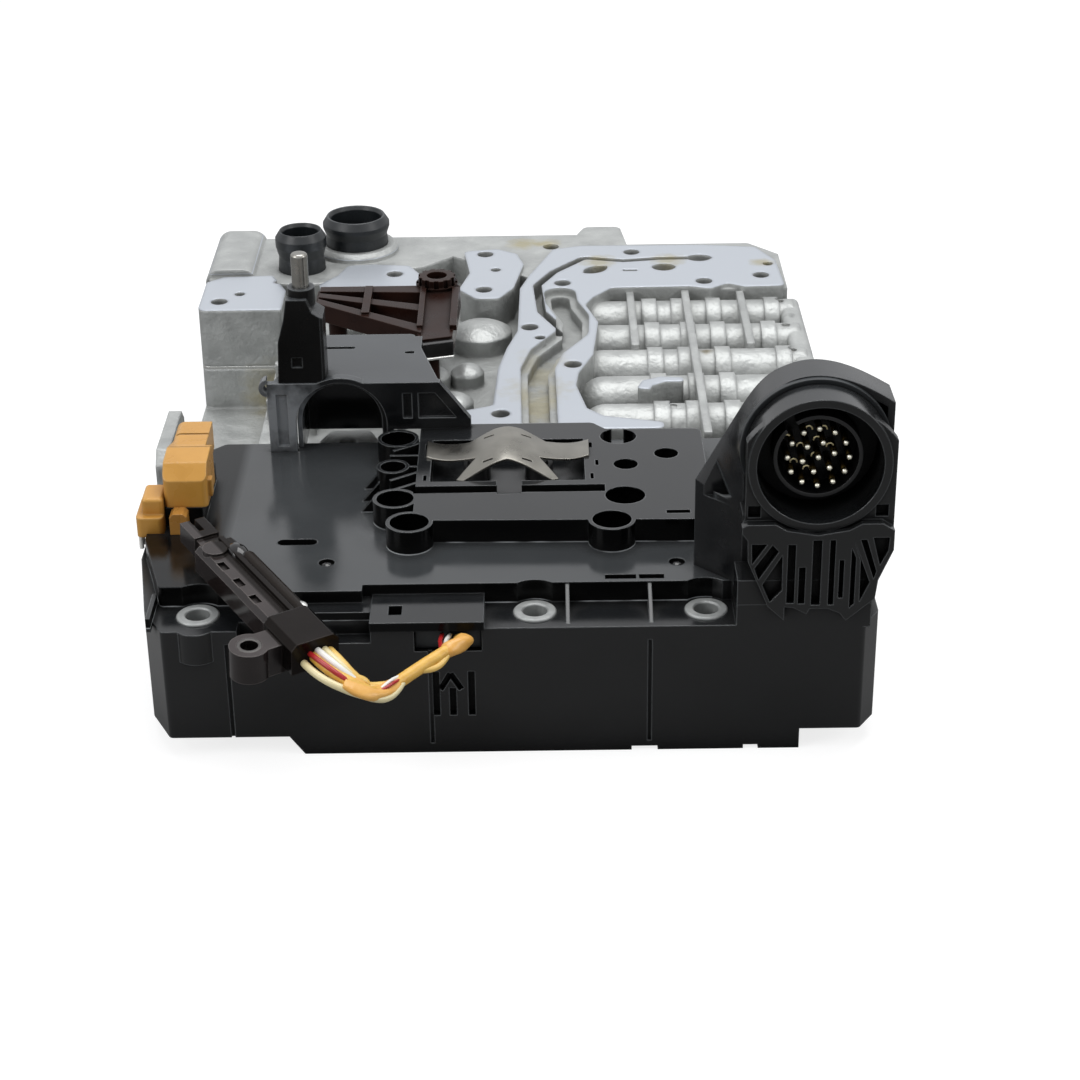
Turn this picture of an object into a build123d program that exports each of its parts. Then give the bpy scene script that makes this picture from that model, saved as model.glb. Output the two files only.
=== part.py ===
"""Transmission mechatronic unit: a black electronic control housing with a round plug tower over an aluminium
valve body. Millimetres. X runs to the right, Y to the back and Z up. Z = 0 is the underside of the lower casting,
and Y = 0 is the front edge of the housing's top plate."""
import os
from math import cos, pi, radians, sin, tan
from build123d import *

# Castings and separator plate
lower_height = 24.4
separator_thickness = 1.0
upper_height = 20.6
upper_floor = 9.0
casting_left = -101.5
casting_right = 102.0
casting_front = 94.0
casting_back = 271.0
left_block_front = 196.0
left_block_right = -73.0
left_flange_height = 9.6
rear_step = 1.4
tab_length = 8.5
corner_radius = 3.0
side_wall_overhang = 2.6

# Spool bores, spools, springs and plugs
bore_count = 5
bore_pitch = 22.0
first_bore_y = 118.0
bore_radius = 6.0
bore_depth = 58.0
bore_wall = 3.0
spool_clearance = 0.04
spool_length = 30.0
spool_nose = 4.0
spool_stop_gap = 0.05
groove_radius = 3.4
plug_length = 7.0
plug_recess = 1.0
plug_clearance = 0.03
spring_outer_radius = 4.2
spring_wall = 1.0
pin_radius = 1.5
pin_clearance = 0.03
pin_length = 15.0

# Holes, dowels, bolts and balls
gearbox_hole_radius = 2.9
small_hole_radius = 1.8
dowel_radius = 3.0
dowel_length = 10.0
bolt_radius = 3.0
bolt_head_radius = 5.0
bolt_head_height = 4.0
bolt_length = 30.0
bolt_clearance = 0.1
ball_radius = 3.0
ball_pocket_radius = 4.4
ball_pocket_depth = 6.05
orifice_radius = 1.2

# Oil channels in the upper casting
narrow_channel = 3.0
wide_channel = 6.5
wide_channel_step = 11.0
channel_depth = 6.5
step_depth = 2.6

# Control housing
wall = 2.5
ledge_height = 38.0
ledge_thickness = 2.0
plate_step = 6.0
platform_rise = 7.0
platform_skin = 2.0
housing_front = -14.0
housing_back = 91.0
plate_setback = 14.0
plate_inset = 1.5
casting_gap = 0.4
corner_step = 5.5
bush_outer_radius = 5.75
bush_inner_radius = 3.3
bush_clearance = 0.05
bush_proud = 0.7
bush_column_radius = 7.5
bush_y = -5.5
screw_dome_wall = 1.1
window_floor_depth = 5.0
tower_block_rise = 7.2
ledge_step = 4.0
side_flange = 1.2

# Plug tower
tower_z = 84.1
socket_radius = 16.2
socket_wall = 2.2
tube_clearance = 0.1
tower_face = -14.0
frame_half_width = 19.2
frame_thickness = 3.0
web_depth = 2.5
hood_front = -3.0
hood_depth = 12.0
hood_wall = 2.2
spigot_step = 0.8
insert_thickness = 5.0
insert_face = -1.0
insert_clearance = 0.05
key_ring_radius = 11.5
key_ring_wall = 1.0
key_ring_length = 8.0
contact_radius = 0.85
contact_length = 9.0
outer_contacts = 12
outer_contact_circle = 8.0
inner_contacts = 6
inner_contact_circle = 4.2
seal_section = 0.9

# Solenoids
solenoid_count = 6
solenoid_pitch = 20.0
first_solenoid_x = -22.0
solenoid_bed_gap = 0.8
solenoid_top_gap = 1.2
solenoid_length = 44.0
solenoid_nose_step = 3.8
solenoid_nose_length = 12.0
solenoid_clearance = 0.05
retainer_thickness = 1.5

# Control electronics
base_plate_thickness = 3.0
board_thickness = 1.6
board_standoff = 2.0

# Leaf spring
spring_sheet = 0.7
spring_crown_x = 5.0
spring_rise = 6.0
spring_half_length = 23.5
spring_droop = 5.0

# Bracket, tower and probe
bracket_front = 85.0
bracket_wall = 2.4
bracket_rise = 22.0
bracket_depth = 38.0
arch_radius = 13.5
arch_wall = 1.6
arch_lip = 3.0
barrel_depth = 23.0
probe_radius = 2.5
probe_reach = 12.8
sensor_tower_rise = 26.0

# Rubber sleeves
small_sleeve_radius = 9.0
small_sleeve_bore = 6.4
small_sleeve_height = 14.4
large_sleeve_radius = 12.0
large_sleeve_bore = 9.0
large_sleeve_height = 10.4
large_sleeve_boss = 3.0
sleeve_neck_depth = 4.0
sleeve_neck_wall = 1.6
sleeve_fit = 0.05

# Loose sensor, plug and cable
loose_sensor_width = 12.0
loose_sensor_height = 7.5
eyelet_bush_radius = 3.2
eyelet_wall = 2.0
cable_diameter = 4.2
plug_seat_height = 6.0
cap_sink = 1.2

# Heights and places worked out from the sizes above
housing_left = casting_left + 4.5
housing_right = casting_right + 1.5
plate_height = ledge_height + plate_step
tower_block_top = plate_height + tower_block_rise
bracket_top = plate_height + bracket_rise
sensor_tower_top = bracket_top + sensor_tower_rise
probe_top = sensor_tower_top + probe_reach
tower_x = housing_right - 18.1
arch_x = housing_left + 52.5
window_heights = (ledge_height - 6.7, ledge_height - 0.4)
loose_tip = (housing_left + 16.1, 20.4, plate_height + 7.0)
loose_tail = (housing_left + 53.9, -37.6, ledge_height + 5.7)
separator_top = lower_height + separator_thickness
body_top = separator_top + upper_height
floor_top = separator_top + upper_floor
rear_top = body_top - rear_step
bore_z = separator_top + bore_wall + bore_radius + 0.4
platform_height = plate_height + platform_rise
plate_front = housing_front + plate_setback
arch_z = bracket_top - arch_radius
bore_rows = [first_bore_y + bore_pitch * i for i in range(bore_count)]
solenoid_places = [first_solenoid_x + solenoid_pitch * i for i in range(solenoid_count)]
solenoid_radius = (plate_height - ledge_thickness - lower_height - solenoid_bed_gap - solenoid_top_gap) / 2
solenoid_z = lower_height + solenoid_bed_gap + solenoid_radius
solenoid_nose_radius = solenoid_radius - solenoid_nose_step
solenoid_back = casting_front - 0.2
solenoid_front = solenoid_back - solenoid_length
gearbox_holes = [(2.4, 106.6), (11.5, 177.3), (25.3, 144.9), (23.0, 218.0), (-4.3, 212.6), (-4.3, 247.8),
                 (19.4, 258.7), (48.2, 248.3), (72.3, 218.3), (92.6, 223.5), (-95.0, 204.3), (-36.0, 229.0)]
small_holes = [(-0.4, 231.8), (14.9, 168.0), (96.0, 234.6), (-88.7, 211.3), (-76.0, 222.6)]
bolt_places = [(-66.0, 110.0), (-66.0, 190.0), (-36.0, 205.0), (-90.0, 222.0), (-12.0, 262.0), (84.0, 240.0),
               (38.0, 172.0), (34.0, 130.0)]
dowel_places = [(-60.0, 100.0), (90.0, 252.0)]
ball_places = [(-50.0, 125.0), (-50.0, 150.0), (-28.0, 165.0), (60.0, 225.0)]
bush_places = [housing_left + 19.9, 12.4, tower_x - 27.5]
small_sleeve_place = (casting_left + 32.0, casting_back - 31.0)
large_sleeve_place = (casting_left + 50.5, casting_back - 13.0)
sleeve_seats = [(small_sleeve_place, small_sleeve_bore, rear_top),
                (large_sleeve_place, large_sleeve_bore, rear_top + large_sleeve_boss)]


def block(x, y, z):
    """Box between three pairs of limits."""
    sizes = [high - low for low, high in (x, y, z)]
    middle = [(low + high) / 2 for low, high in (x, y, z)]
    return Pos(*middle) * Box(*sizes)


def rod_z(place, radius, z):
    """Upright cylinder."""
    return Pos(place[0], place[1], (z[0] + z[1]) / 2) * Cylinder(radius, z[1] - z[0])


def rod_y(x, y, z, radius):
    """Cylinder along Y."""
    return Pos(x, (y[0] + y[1]) / 2, z) * Rot(90, 0, 0) * Cylinder(radius, y[1] - y[0])


def rod_x(x, y, z, radius):
    """Cylinder along X."""
    return Pos((x[0] + x[1]) / 2, y, z) * Rot(0, 90, 0) * Cylinder(radius, x[1] - x[0])


def corner_radii(points, radius):
    """Radius for each corner of a closed outline, limited by the shorter side beside it."""
    corners = [Vector(*p) for p in points]
    radii = []
    for before, here, after in zip(corners[-1:] + corners[:-1], corners, corners[1:] + corners[:1]):
        turn = radians((here - before).get_angle(after - here))
        limit = 0.45 * min((here - before).length, (after - here).length) / tan(turn / 2)
        radii.append(min(radius, limit))
    return radii


def outline(points, radius=0.0, inset=0.0):
    """Closed face in plan with rounded corners, drawn inwards by the inset."""
    if radius:
        face = make_face(FilletPolyline(*points, radius=corner_radii(points, radius), close=True))
    else:
        face = make_face(Polyline(*points, close=True))
    if inset:
        face = offset(face, -inset, kind=Kind.INTERSECTION)
    return face


def prism(face, z):
    """Plan face raised between two heights."""
    return Pos(0, 0, z[0]) * extrude(face, z[1] - z[0], dir=(0, 0, 1))


def side_prism(points, y):
    """Outline in X and Z carried along Y."""
    face = make_face(Polyline(*[(px, y[0], pz) for px, pz in points], close=True))
    return extrude(face, y[1] - y[0], dir=(0, 1, 0))


def cross_prism(points, x):
    """Outline in Y and Z carried along X."""
    face = make_face(Polyline(*[(x[0], py, pz) for py, pz in points], close=True))
    return extrude(face, x[1] - x[0], dir=(1, 0, 0))


def stroke(points, width, radius):
    """Plan face of a constant width along a path with rounded turns and round ends."""
    path = FilletPolyline(*points, radius=radius)
    return make_face(offset(path, width / 2, side=Side.BOTH))


def union(pieces):
    """All pieces as one solid."""
    return pieces[0].fuse(*pieces[1:]).clean()


def casting_plan(inset=0.0):
    """Plan of the castings behind the housing, with the tab at the back and the left block."""
    tab_back = casting_back + tab_length
    right_back = casting_back - tab_length - 2.5
    points = [(left_block_right, casting_front), (casting_right, casting_front), (casting_right, right_back - 12),
              (casting_right - 11, right_back), (47, right_back), (45, tab_back), (32, tab_back), (29, casting_back),
              (casting_left, casting_back), (casting_left, left_block_front), (left_block_right, left_block_front)]
    return outline(points, corner_radius, inset)


def through_holes(z, extra=0.0):
    """Gearbox bolt holes and the smaller oil holes that pass through the whole stack."""
    holes = [rod_z(place, gearbox_hole_radius + extra, z) for place in gearbox_holes]
    return holes + [rod_z(place, small_hole_radius + extra, z) for place in small_holes]


def land_plan():
    """Main machined gasket land of the upper casting."""
    points = [(-14, 94.5), (-12, 108), (0, 113), (1.3, 142), (4, 159), (7.5, 174), (8.2, 213), (11.5, 226), (20, 252),
              (30, 255.5), (74, 255), (casting_right - 9, 252), (casting_right - 3, 238), (casting_right - 2, 213),
              (86, 212.5), (80.4, 216), (74, 211), (67, 213.5), (40, 213), (33.3, 204), (30.5, 197),
              (34.4, 181), (32, 153), (27, 138), (26, 128), (29, 110), (34, 104), (52, 99), (52, 94.5)]
    return outline(points, 2.2)


def land_patches():
    """Separate lands: round the three holes left of the channels, on the left block and by the sleeves."""
    centre = [(-12, 251), (0, 253), (7, 248), (9.5, 237), (6, 214), (1, 204), (-7, 204), (-13, 213), (-9.5, 229)]
    left = [(casting_left, left_block_front), (casting_left, 223), (-96, 228), (-79, 229),
            (left_block_right, 214), (left_block_right, left_block_front)]
    middle = [(-62, 219), (-56, 228), (-53, 238), (-44, 239), (-31, 237), (-26, 226), (-27, 206), (-58, 206)]
    crescent = [(45, 125), (47, 131), (53, 134), (60, 133), (60, 130), (54, 130), (50, 127), (49, 124)]
    return [outline(centre, 2.5), outline(left, 0.8), outline(middle, 2.5), outline(crescent, 1.2)]


def narrow_channel_path():
    """Route of the narrow channel, from its blind end round to the right."""
    return [(21.5, 176.5), (15.6, 191), (14.2, 216), (20, 229), (31, 243), (45, 239.5), (58, 241.5), (72, 241.5)]


def wide_channel_path():
    """Route of the wide valley that runs out under the housing."""
    return [(14.5, 90), (14, 142), (17, 156), (25.5, 172), (26, 187), (22.4, 200), (22, 208)]


def almond(place, length, width, turn):
    """Pointed oval plan face."""
    upper = ThreePointArc((-length / 2, 0), (0, width / 2), (length / 2, 0))
    lower = ThreePointArc((length / 2, 0), (0, -width / 2), (-length / 2, 0))
    return make_face([upper, lower]).moved(Location((place[0], place[1], 0), (0, 0, turn)))


def casting_cuts():
    """Channels, almond pockets, bores and seats cut from the upper casting."""
    cuts = [prism(stroke(narrow_channel_path(), narrow_channel, 3.0), (body_top - channel_depth, body_top + 1)),
            prism(stroke(wide_channel_path(), wide_channel, 3.5), (body_top - channel_depth, body_top + 1)),
            prism(stroke(wide_channel_path(), wide_channel_step, 6.0), (body_top - step_depth, body_top + 1))]
    for place, length, width, turn in [((34.8, 231.0), 11.0, 6.6, 40), ((59.0, 232.6), 8.6, 7.2, 0),
                                       ((72.0, 241.5), 9.6, 6.8, 0)]:
        cuts.append(prism(almond(place, length, width, turn), (body_top - channel_depth - 1, body_top + 1)))
    cuts.append(block((44.5, 49.5), (229, 230.5), (body_top - 2, body_top + 1)))
    for y in bore_rows:
        cuts.append(rod_x((casting_right - bore_depth, casting_right + side_wall_overhang + 1), y, bore_z, bore_radius))
        cuts.append(rod_z((casting_right - plug_recess - plug_length / 2, y), pin_radius + pin_clearance,
                          (bore_z - pin_length / 2, body_top + 1)))
    for x in solenoid_places:
        reach = solenoid_back + solenoid_nose_length - 4 + 0.6
        cuts.append(rod_y(x, (casting_front - 1, reach), solenoid_z, solenoid_nose_radius + solenoid_clearance))
    for place in bolt_places:
        cuts.append(rod_z(place, bolt_radius + bolt_clearance, (separator_top - 1, floor_top - 2)))
    for place in dowel_places:
        cuts.append(rod_z(place, dowel_radius + pin_clearance, (separator_top - 1, separator_top + dowel_length / 2)))
    for place, bore, seat in sleeve_seats:
        neck = bore + sleeve_neck_wall + sleeve_fit
        cuts.append(rod_z(place, neck, (seat - sleeve_neck_depth, body_top + 6)))
        cuts.append(rod_z(place, bore - 1.5, (separator_top - 1, body_top)))
    cuts.append(rod_z((-44.4, 102.9), 2.6, (separator_top + 3, body_top)))
    for x, y in [(71.0, 152.0), (74.0, 131.0), (56.0, 118.0)]:
        cuts.append(rod_z((x, y), 1.3, (bore_z + bore_radius + 1.6, body_top + 1)))
    return cuts


def bore_bulges():
    """Cast bulges round the spool bores, with collars, a long rib, short cross ribs and the right side wall."""
    outer = bore_radius + bore_wall
    start = casting_right - bore_depth - 9
    pieces = []
    for row, y in enumerate(bore_rows):
        pieces.append(rod_x((start, casting_right), y, bore_z, outer - 0.8))
        for x in (50, 60 + 2 * (row % 2), 72, 92 - 3 * (row % 2)):
            pieces.append(rod_x((x, x + 5), y, bore_z, outer))
        pieces.append(Pos(start, y, bore_z) * Sphere(outer - 0.8))
    pieces.append(block((64.0, 66.5), (casting_front, 213), (floor_top - 1, bore_z + outer + 0.8)))
    for x in (45.0, 83.0):
        pieces.append(block((x, x + 2.5), (165, 213), (floor_top - 1, bore_z + outer + 0.4)))
    side = block((casting_right - 4.5, casting_right + side_wall_overhang), (casting_front + 3, 212),
                 (separator_top + 1.5, bore_z + outer - 1.8))
    side = fillet(side.edges().filter_by(Axis.Y), 2.2)
    pieces.append(fillet(side.edges().filter_by(Axis.Z).group_by(Axis.X)[-1], 2.0))
    return pieces


def dome(place, radius, z, rise):
    """Upright post with a shallow spherical top above its upper height."""
    ball = (radius ** 2 + rise ** 2) / (2 * rise)
    return rod_z(place, radius, (z[0], z[1] + rise)) & Pos(place[0], place[1], z[1] + rise - ball) * Sphere(ball)


def cast_lumps():
    """Cast domes, solenoid bosses, the sleeve's boss and the drilled boss under the bracket's arch."""
    pieces = [dome((-5, 189), 10.5, (floor_top - 1, floor_top + 5.6), 3.6)]
    for x, y, radius in [(-9, 157, 5.5), (-20, 155, 5.5), (-24, 172, 6.0), (-38, 190, 7.0), (-13, 133, 6.5)]:
        pieces.append(dome((x, y), radius, (floor_top - 1, floor_top + 4.1), 3.0))
    for x in solenoid_places:
        pieces.append(rod_y(x, (casting_front, casting_front + 11), solenoid_z, solenoid_nose_radius + 3))
    for y in (130.0, 160.0, 190.0):
        pieces.append(block((left_block_right + 1, -30), (y, y + 2.5), (floor_top - 1, floor_top + 6.6)))
    for x in (-58.0, -30.0):
        pieces.append(block((x, x + 2.5), (118, 206), (floor_top - 1, floor_top + 6.6)))
    pieces.append(prism(outline([(-52, 95), (-36, 95), (-35, 103), (-38, 111), (-50, 111), (-53, 103)], 3.0),
                        (floor_top - 1, floor_top + 4.6)))
    foot = rod_z(large_sleeve_place, large_sleeve_radius + 3, (floor_top, rear_top + large_sleeve_boss))
    foot = chamfer(foot.edges().filter_by(GeomType.CIRCLE).group_by(Axis.Z)[-1], 1.5)
    pieces.append(foot & prism(casting_plan(), (floor_top, body_top + large_sleeve_boss)))
    return pieces


def upper_valve_body():
    """Upper casting: floor, raised lands, bore bulges, ribs and the rear deck, then its channels and bores."""
    plan = casting_plan()
    body = prism(plan, (separator_top, floor_top))
    right = casting_right - 1
    deck_points = [(casting_left, 229), (casting_left, casting_back), (29, casting_back),
                   (32, casting_back + tab_length), (45, casting_back + tab_length), (47, 260), (91, 260),
                   (right, 248), (right, 214), (30, 214), (14, 225), (-16, 250), (-26, 240), (-62, 224),
                   (left_block_right, 224)]
    block_plan = prism(plan, (separator_top, body_top + large_sleeve_boss))
    deck = prism(outline(deck_points), (separator_top, rear_top)) & block_plan
    bump = block((casting_left - 1.5, casting_left + 16.5), (231, casting_back + 1), (separator_top, body_top + 1.5))
    bump = fillet(bump.edges().filter_by(Axis.Y).group_by(Axis.Z)[-1], 5.0)
    lands = [prism(face, (separator_top, body_top)) & block_plan for face in [land_plan()] + land_patches()]
    body = union([body, deck, bump] + lands + bore_bulges() + cast_lumps())
    return body.cut(*(casting_cuts() + through_holes((separator_top - 1, body_top + 3))))


def lower_valve_body():
    """Lower casting: block under the upper casting, front bed under the housing and the low left flange."""
    inset = wall + casting_gap
    bed = prism(outline(skirt_points(), 0, inset), (0, lower_height))
    front = bed & block((-200, 200), (housing_front, casting_front), (0, lower_height))
    rear = prism(casting_plan(), (0, lower_height))
    flange = block((casting_left, left_block_right + 2), (casting_front + 2, left_block_front + 4), (0, left_flange_height))
    fence = block((casting_left - 1.5, casting_left + 2.5), (housing_back + 6, 134), (0, ledge_height))
    fence = chamfer(fence.edges().filter_by(Axis.X).group_by(Axis.Z)[-1], 4.0)
    cradles = [block((housing_left + 30, housing_right - 12), (y, y + 5), (lower_height - 1, lower_height + 5))
               for y in (solenoid_front + 6.2, solenoid_front + 26.2)]
    link = block((left_block_right + 1, housing_right - inset), (housing_back - wall - 4, casting_front + 4),
                 (0, lower_height))
    body = union([front, link, rear, flange, fence] + cradles)
    cuts = [block((-120, -50), (-20, 6), (-1, corner_step)), block((82, 120), (-20, 6), (-1, corner_step + 0.5))]
    for x in solenoid_places:
        cuts.append(rod_y(x, (solenoid_front - 1, casting_front), solenoid_z,
                          solenoid_radius + solenoid_clearance))
    for place in bolt_places:
        cuts.append(rod_z(place, bolt_radius + bolt_clearance, (-1, lower_height + 1)))
        cuts.append(rod_z(place, bolt_head_radius + 1, (-1, bolt_head_height + 0.5)))
    for place in dowel_places:
        cuts.append(rod_z(place, dowel_radius + pin_clearance, (lower_height - dowel_length / 2, lower_height + 1)))
    for place in ball_places:
        cuts.append(rod_z(place, ball_pocket_radius, (lower_height - ball_pocket_depth, lower_height + 1)))
    for x in bush_places:
        cuts.append(rod_z((x, bush_y), bush_inner_radius + 0.6, (-1, lower_height + 1)))
    for x, y in [(-60, 40), (-20, 40), (20, 40), (60, 40), (70, 130), (70, 175)]:
        cuts.append(block((x - 14, x + 14), (y - 12, y + 12), (-1, 6)))
    cuts.append(rod_z((-40, 135), 16.0, (-1, 5)))
    return body.cut(*(cuts + through_holes((-1, lower_height + 1))))


def separator_plate():
    """Flat steel plate between the castings, with the bolt holes and the orifices over the check balls."""
    sheet = prism(casting_plan(), (lower_height, separator_top))
    cuts = through_holes((lower_height - 1, separator_top + 1))
    cuts += [rod_z(place, bolt_radius + bolt_clearance, (lower_height - 1, separator_top + 1)) for place in bolt_places]
    cuts += [rod_z(place, dowel_radius + pin_clearance, (lower_height - 1, separator_top + 1)) for place in dowel_places]
    cuts += [rod_z(place, orifice_radius, (lower_height - 1, separator_top + 1)) for place in ball_places]
    cuts += [rod_z(place, 4.0, (lower_height - 1, separator_top + 1)) for place in
             (small_sleeve_place, large_sleeve_place)]
    return sheet.cut(*cuts)


def spool_stations():
    """X of the spool's nose, body start, body end and plug's inner face."""
    blind = casting_right - bore_depth
    nose = blind + spool_stop_gap
    start = nose + spool_nose
    plug_face = casting_right - plug_recess - plug_length
    return nose, start, start + spool_length, plug_face


def spool(y):
    """Turned spool with three lands, two grooves and a stop nose."""
    nose, start, end, _ = spool_stations()
    radius = bore_radius - spool_clearance
    body = rod_x((start, end), y, bore_z, radius) + rod_x((nose, start), y, bore_z, groove_radius)
    for low, high in ((0.22, 0.42), (0.62, 0.82)):
        ring = rod_x((start + low * spool_length, start + high * spool_length), y, bore_z, radius + 1)
        core = rod_x((start, end), y, bore_z, groove_radius)
        body = body - (ring - core)
    return body


def spool_spring(y):
    """Space of the coil spring between the spool and its plug."""
    _, _, end, plug_face = spool_stations()
    return rod_x((end, plug_face), y, bore_z, spring_outer_radius) - \
        rod_x((end - 1, plug_face + 1), y, bore_z, spring_outer_radius - spring_wall)


def bore_plug(y):
    """Plug that closes a spool bore, with the cross hole of its retaining pin and a pull hole outside."""
    _, _, _, face = spool_stations()
    body = rod_x((face, face + plug_length), y, bore_z, bore_radius - plug_clearance)
    body = body - rod_x((face + plug_length - 1.5, face + plug_length + 1), y, bore_z, 2.4)
    return body - rod_z((face + plug_length / 2, y), pin_radius + pin_clearance, (bore_z - 9, bore_z + 9))


def plug_pins():
    """Dowel pins that hold the bore plugs."""
    x = casting_right - plug_recess - plug_length / 2
    return [rod_z((x, y), pin_radius, (bore_z - pin_length / 2, bore_z + pin_length / 2)) for y in bore_rows]


def body_bolts():
    """Bolts from below that clamp the two castings, with a hexagon socket in each head."""
    bolts = []
    for place in bolt_places:
        head = rod_z(place, bolt_head_radius, (0.5, 0.5 + bolt_head_height))
        shank = rod_z(place, bolt_radius, (0.5, 0.5 + bolt_length))
        socket = Pos(place[0], place[1], 0) * extrude(RegularPolygon(2.9, 6), 3.0)
        bolts.append(head + shank - socket)
    return bolts


def filter_screen():
    """Inlet screen pressed into the round recess under the lower casting."""
    place = (-40, 135)
    ring = rod_z(place, 15.9, (2.2, 5.0)) - rod_z(place, 13.4, (2, 6))
    bars = [block((place[0] - 13.6, place[0] + 13.6), (place[1] + step - 0.6, place[1] + step + 0.6), (3.2, 4.4))
            for step in (-9, -4.5, 0, 4.5, 9)]
    cross = [block((place[0] + step - 0.6, place[0] + step + 0.6), (place[1] - 13.6, place[1] + 13.6), (3.2, 4.4))
             for step in (-9, 0, 9)]
    mesh = union(bars + cross) & rod_z(place, 13.8, (2, 6))
    return union([ring, mesh])


def sleeve(place, radius, bore, height, foot):
    """Rubber sleeve: neck in the casting, waist and a rounded rim."""
    neck = bore + sleeve_neck_wall
    top = foot + height
    points = [(bore, foot - sleeve_neck_depth), (neck, foot - sleeve_neck_depth), (neck, foot), (radius - 0.6, foot),
              (radius - 1.0, foot + 0.35 * height), (radius, foot + 0.62 * height), (radius, top - 2.5),
              (radius - 1.6, top), (bore + 0.8, top), (bore, top - 1.2)]
    face = make_face(Polyline(*[(x, 0, z) for x, z in points], close=True))
    return Pos(place[0], place[1], 0) * revolve(face, Axis.Z)


def skirt_points():
    """Plan corners of the housing's outer walls."""
    left, right = housing_left, housing_right
    return [(left + 11, housing_front), (right - 4.5, housing_front), (right, housing_front + 7), (right, housing_back),
            (left + 16, housing_back), (left, housing_back - 16), (left, plate_front + 28), (left + 5, housing_front + 12)]


def plate_points():
    """Plan corners of the raised top plate."""
    left, right = housing_left + plate_inset, housing_right - plate_inset
    return [(left + 7.5, plate_front), (right, plate_front), (right, housing_back), (left + 15.5, housing_back),
            (left, housing_back - 16), (left, plate_front + 28)]


def platform_points():
    """Plan corners of the platform's flat top."""
    return [(-21, 24), (62, 22.8), (62, 83), (34, 83), (30, 88), (-21, 88)]


def screw_domes():
    """Tubes of the platform: place, hole radius and height of the foot."""
    left = [((-27.4, 78.4), 5.0), ((-28.0, 59.0), 3.6), ((-26.4, 38.0), 5.2)]
    lobes = [((-21.8, 23.1), 5.4), ((33.8, 23.3), 5.4)]
    right = [((37.4, 78.0), 5.3), ((38.9, 58.7), 3.5), ((38.0, 38.3), 5.6), ((50.9, 65.7), 3.5)]
    return left, lobes, right


def platform(z_low):
    """Raised platform with its screw domes, spring window, trough and side ribs."""
    left, lobes, right = screw_domes()
    deck = prism(outline(platform_points(), 2.5), (z_low, platform_height))
    tubes = [rod_z(place, radius + screw_dome_wall, (z_low, platform_height)) for place, radius in left + lobes]
    ribs = [Pos(-24.5, y, (z_low + platform_height) / 2) * Rot(0, 0, turn) * Box(9.5, 1.0, platform_height - z_low)
            for y, turn in ((72.5, 35), (66.5, 0), (52.5, 35), (45.5, 35), (59.0, 0))]
    gussets = []
    for y in (44.0, 51.0, 59.0):
        slope = make_face(Polyline((-31.5, y - 0.6, z_low), (-36.5, y - 0.6, z_low), (-36.5, y - 0.6, plate_height),
                                   (-31.5, y - 0.6, platform_height - 1), close=True))
        gussets.append(extrude(slope, 1.2, dir=(0, 1, 0)))
    return union([deck] + tubes + ribs + gussets)


def platform_cuts():
    """Holes of the screw domes, the spring's window, its trough and the small slots beside it."""
    left, lobes, right = screw_domes()
    floor = platform_height - window_floor_depth
    cuts = [rod_z(place, radius, (plate_height - 0.5, platform_height + 1)) for place, radius in left + lobes + right]
    cuts.append(block((-17, 27), (48.5, 76.5), (floor, platform_height + 1)))
    cuts.append(block((-21.5, 32.5), (41, 45.5), (platform_height - 3, platform_height + 1)))
    cuts.append(block((2, 9), (40, 48.6), (platform_height - 4, platform_height + 1)))
    for x, y in [(-19, 72), (-19, 51), (28.6, 72), (28.6, 51), (30.2, 60)]:
        cuts.append(block((x, x + 0.9), (y - 1.8, y + 1.8), (platform_height - 2, platform_height + 1)))
    cuts.append(block((49, 55.5), (26.5, 28.5), (platform_height - 1.5, platform_height + 1)))
    return cuts


def inner_space():
    """Hollow of the housing under its skins, clear of the screw domes and the window's tub."""
    shell = prism(outline(skirt_points(), 0, wall), (-1, ledge_height - ledge_thickness))
    upper = prism(outline(plate_points(), 0, wall), (-1, plate_height - wall))
    left, lobes, right = screw_domes()
    roof = prism(outline(platform_points(), 2.5, platform_skin), (plate_height - wall - 1, platform_height - platform_skin))
    keep = [rod_z(place, radius + screw_dome_wall, (plate_height - 2, platform_height)) for place, radius in
            left + lobes + right]
    keep.append(block((-23, 34), (37, 78.5), (plate_height - 0.5, platform_height)))
    return union([shell, upper, roof.cut(*keep)])


def front_wall_details():
    """Grooves, slots and notches of the front and side walls, as solids to cut away."""
    front = housing_front
    cuts = [block((x, x + 1.0), (front - 1, front + 0.7), (3, ledge_height - 4)) for x in (-69.5, -16.0, 42.2)]
    for x, high in ((-15.0, 25.0), (-10.6, 20.0), (-5.6, 25.0)):
        cuts.append(block((x, x + 1.8), (front - 1, front + wall + 0.2), (11.6, high)))
    for x, lean in ((-11.6, 30), (-8.8, -30)):
        cuts.append(Pos(x, front + wall / 2, 22.0) * Rot(0, lean, 0) * Box(1.6, wall + 1, 5.6))
    cuts.append(block((-19.5, -1.7), (front - 1, front + wall + 1), window_heights))
    cuts.append(block((-66, -31), (front - 1, front + 5), (ledge_height - ledge_step, ledge_height + 5)))
    cuts.append(side_prism([(-120, -1), (-120, corner_step), (-54, corner_step), (-50, 0.0), (-50, -1)],
                           (front - 5, plate_front + 6)))
    cuts.append(block((83, 120), (front - 5, plate_front + 5), (-1, corner_step + 0.5)))
    cuts.append(block((38, 45), (front - 1, front + wall + 1), (-1, 1.2)))
    cuts.append(block((68, 72), (front - 1, front + wall + 1), (-1, 1.2)))
    cuts.append(block((housing_left - 1, housing_left + 1), (40, 42.5), (10, 28)))
    cuts.append(block((housing_left - 2, housing_left + 6.4), (plate_front + 31.8, plate_front + 46.2),
                      (plate_height - cap_sink, 60)))
    return cuts


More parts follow.
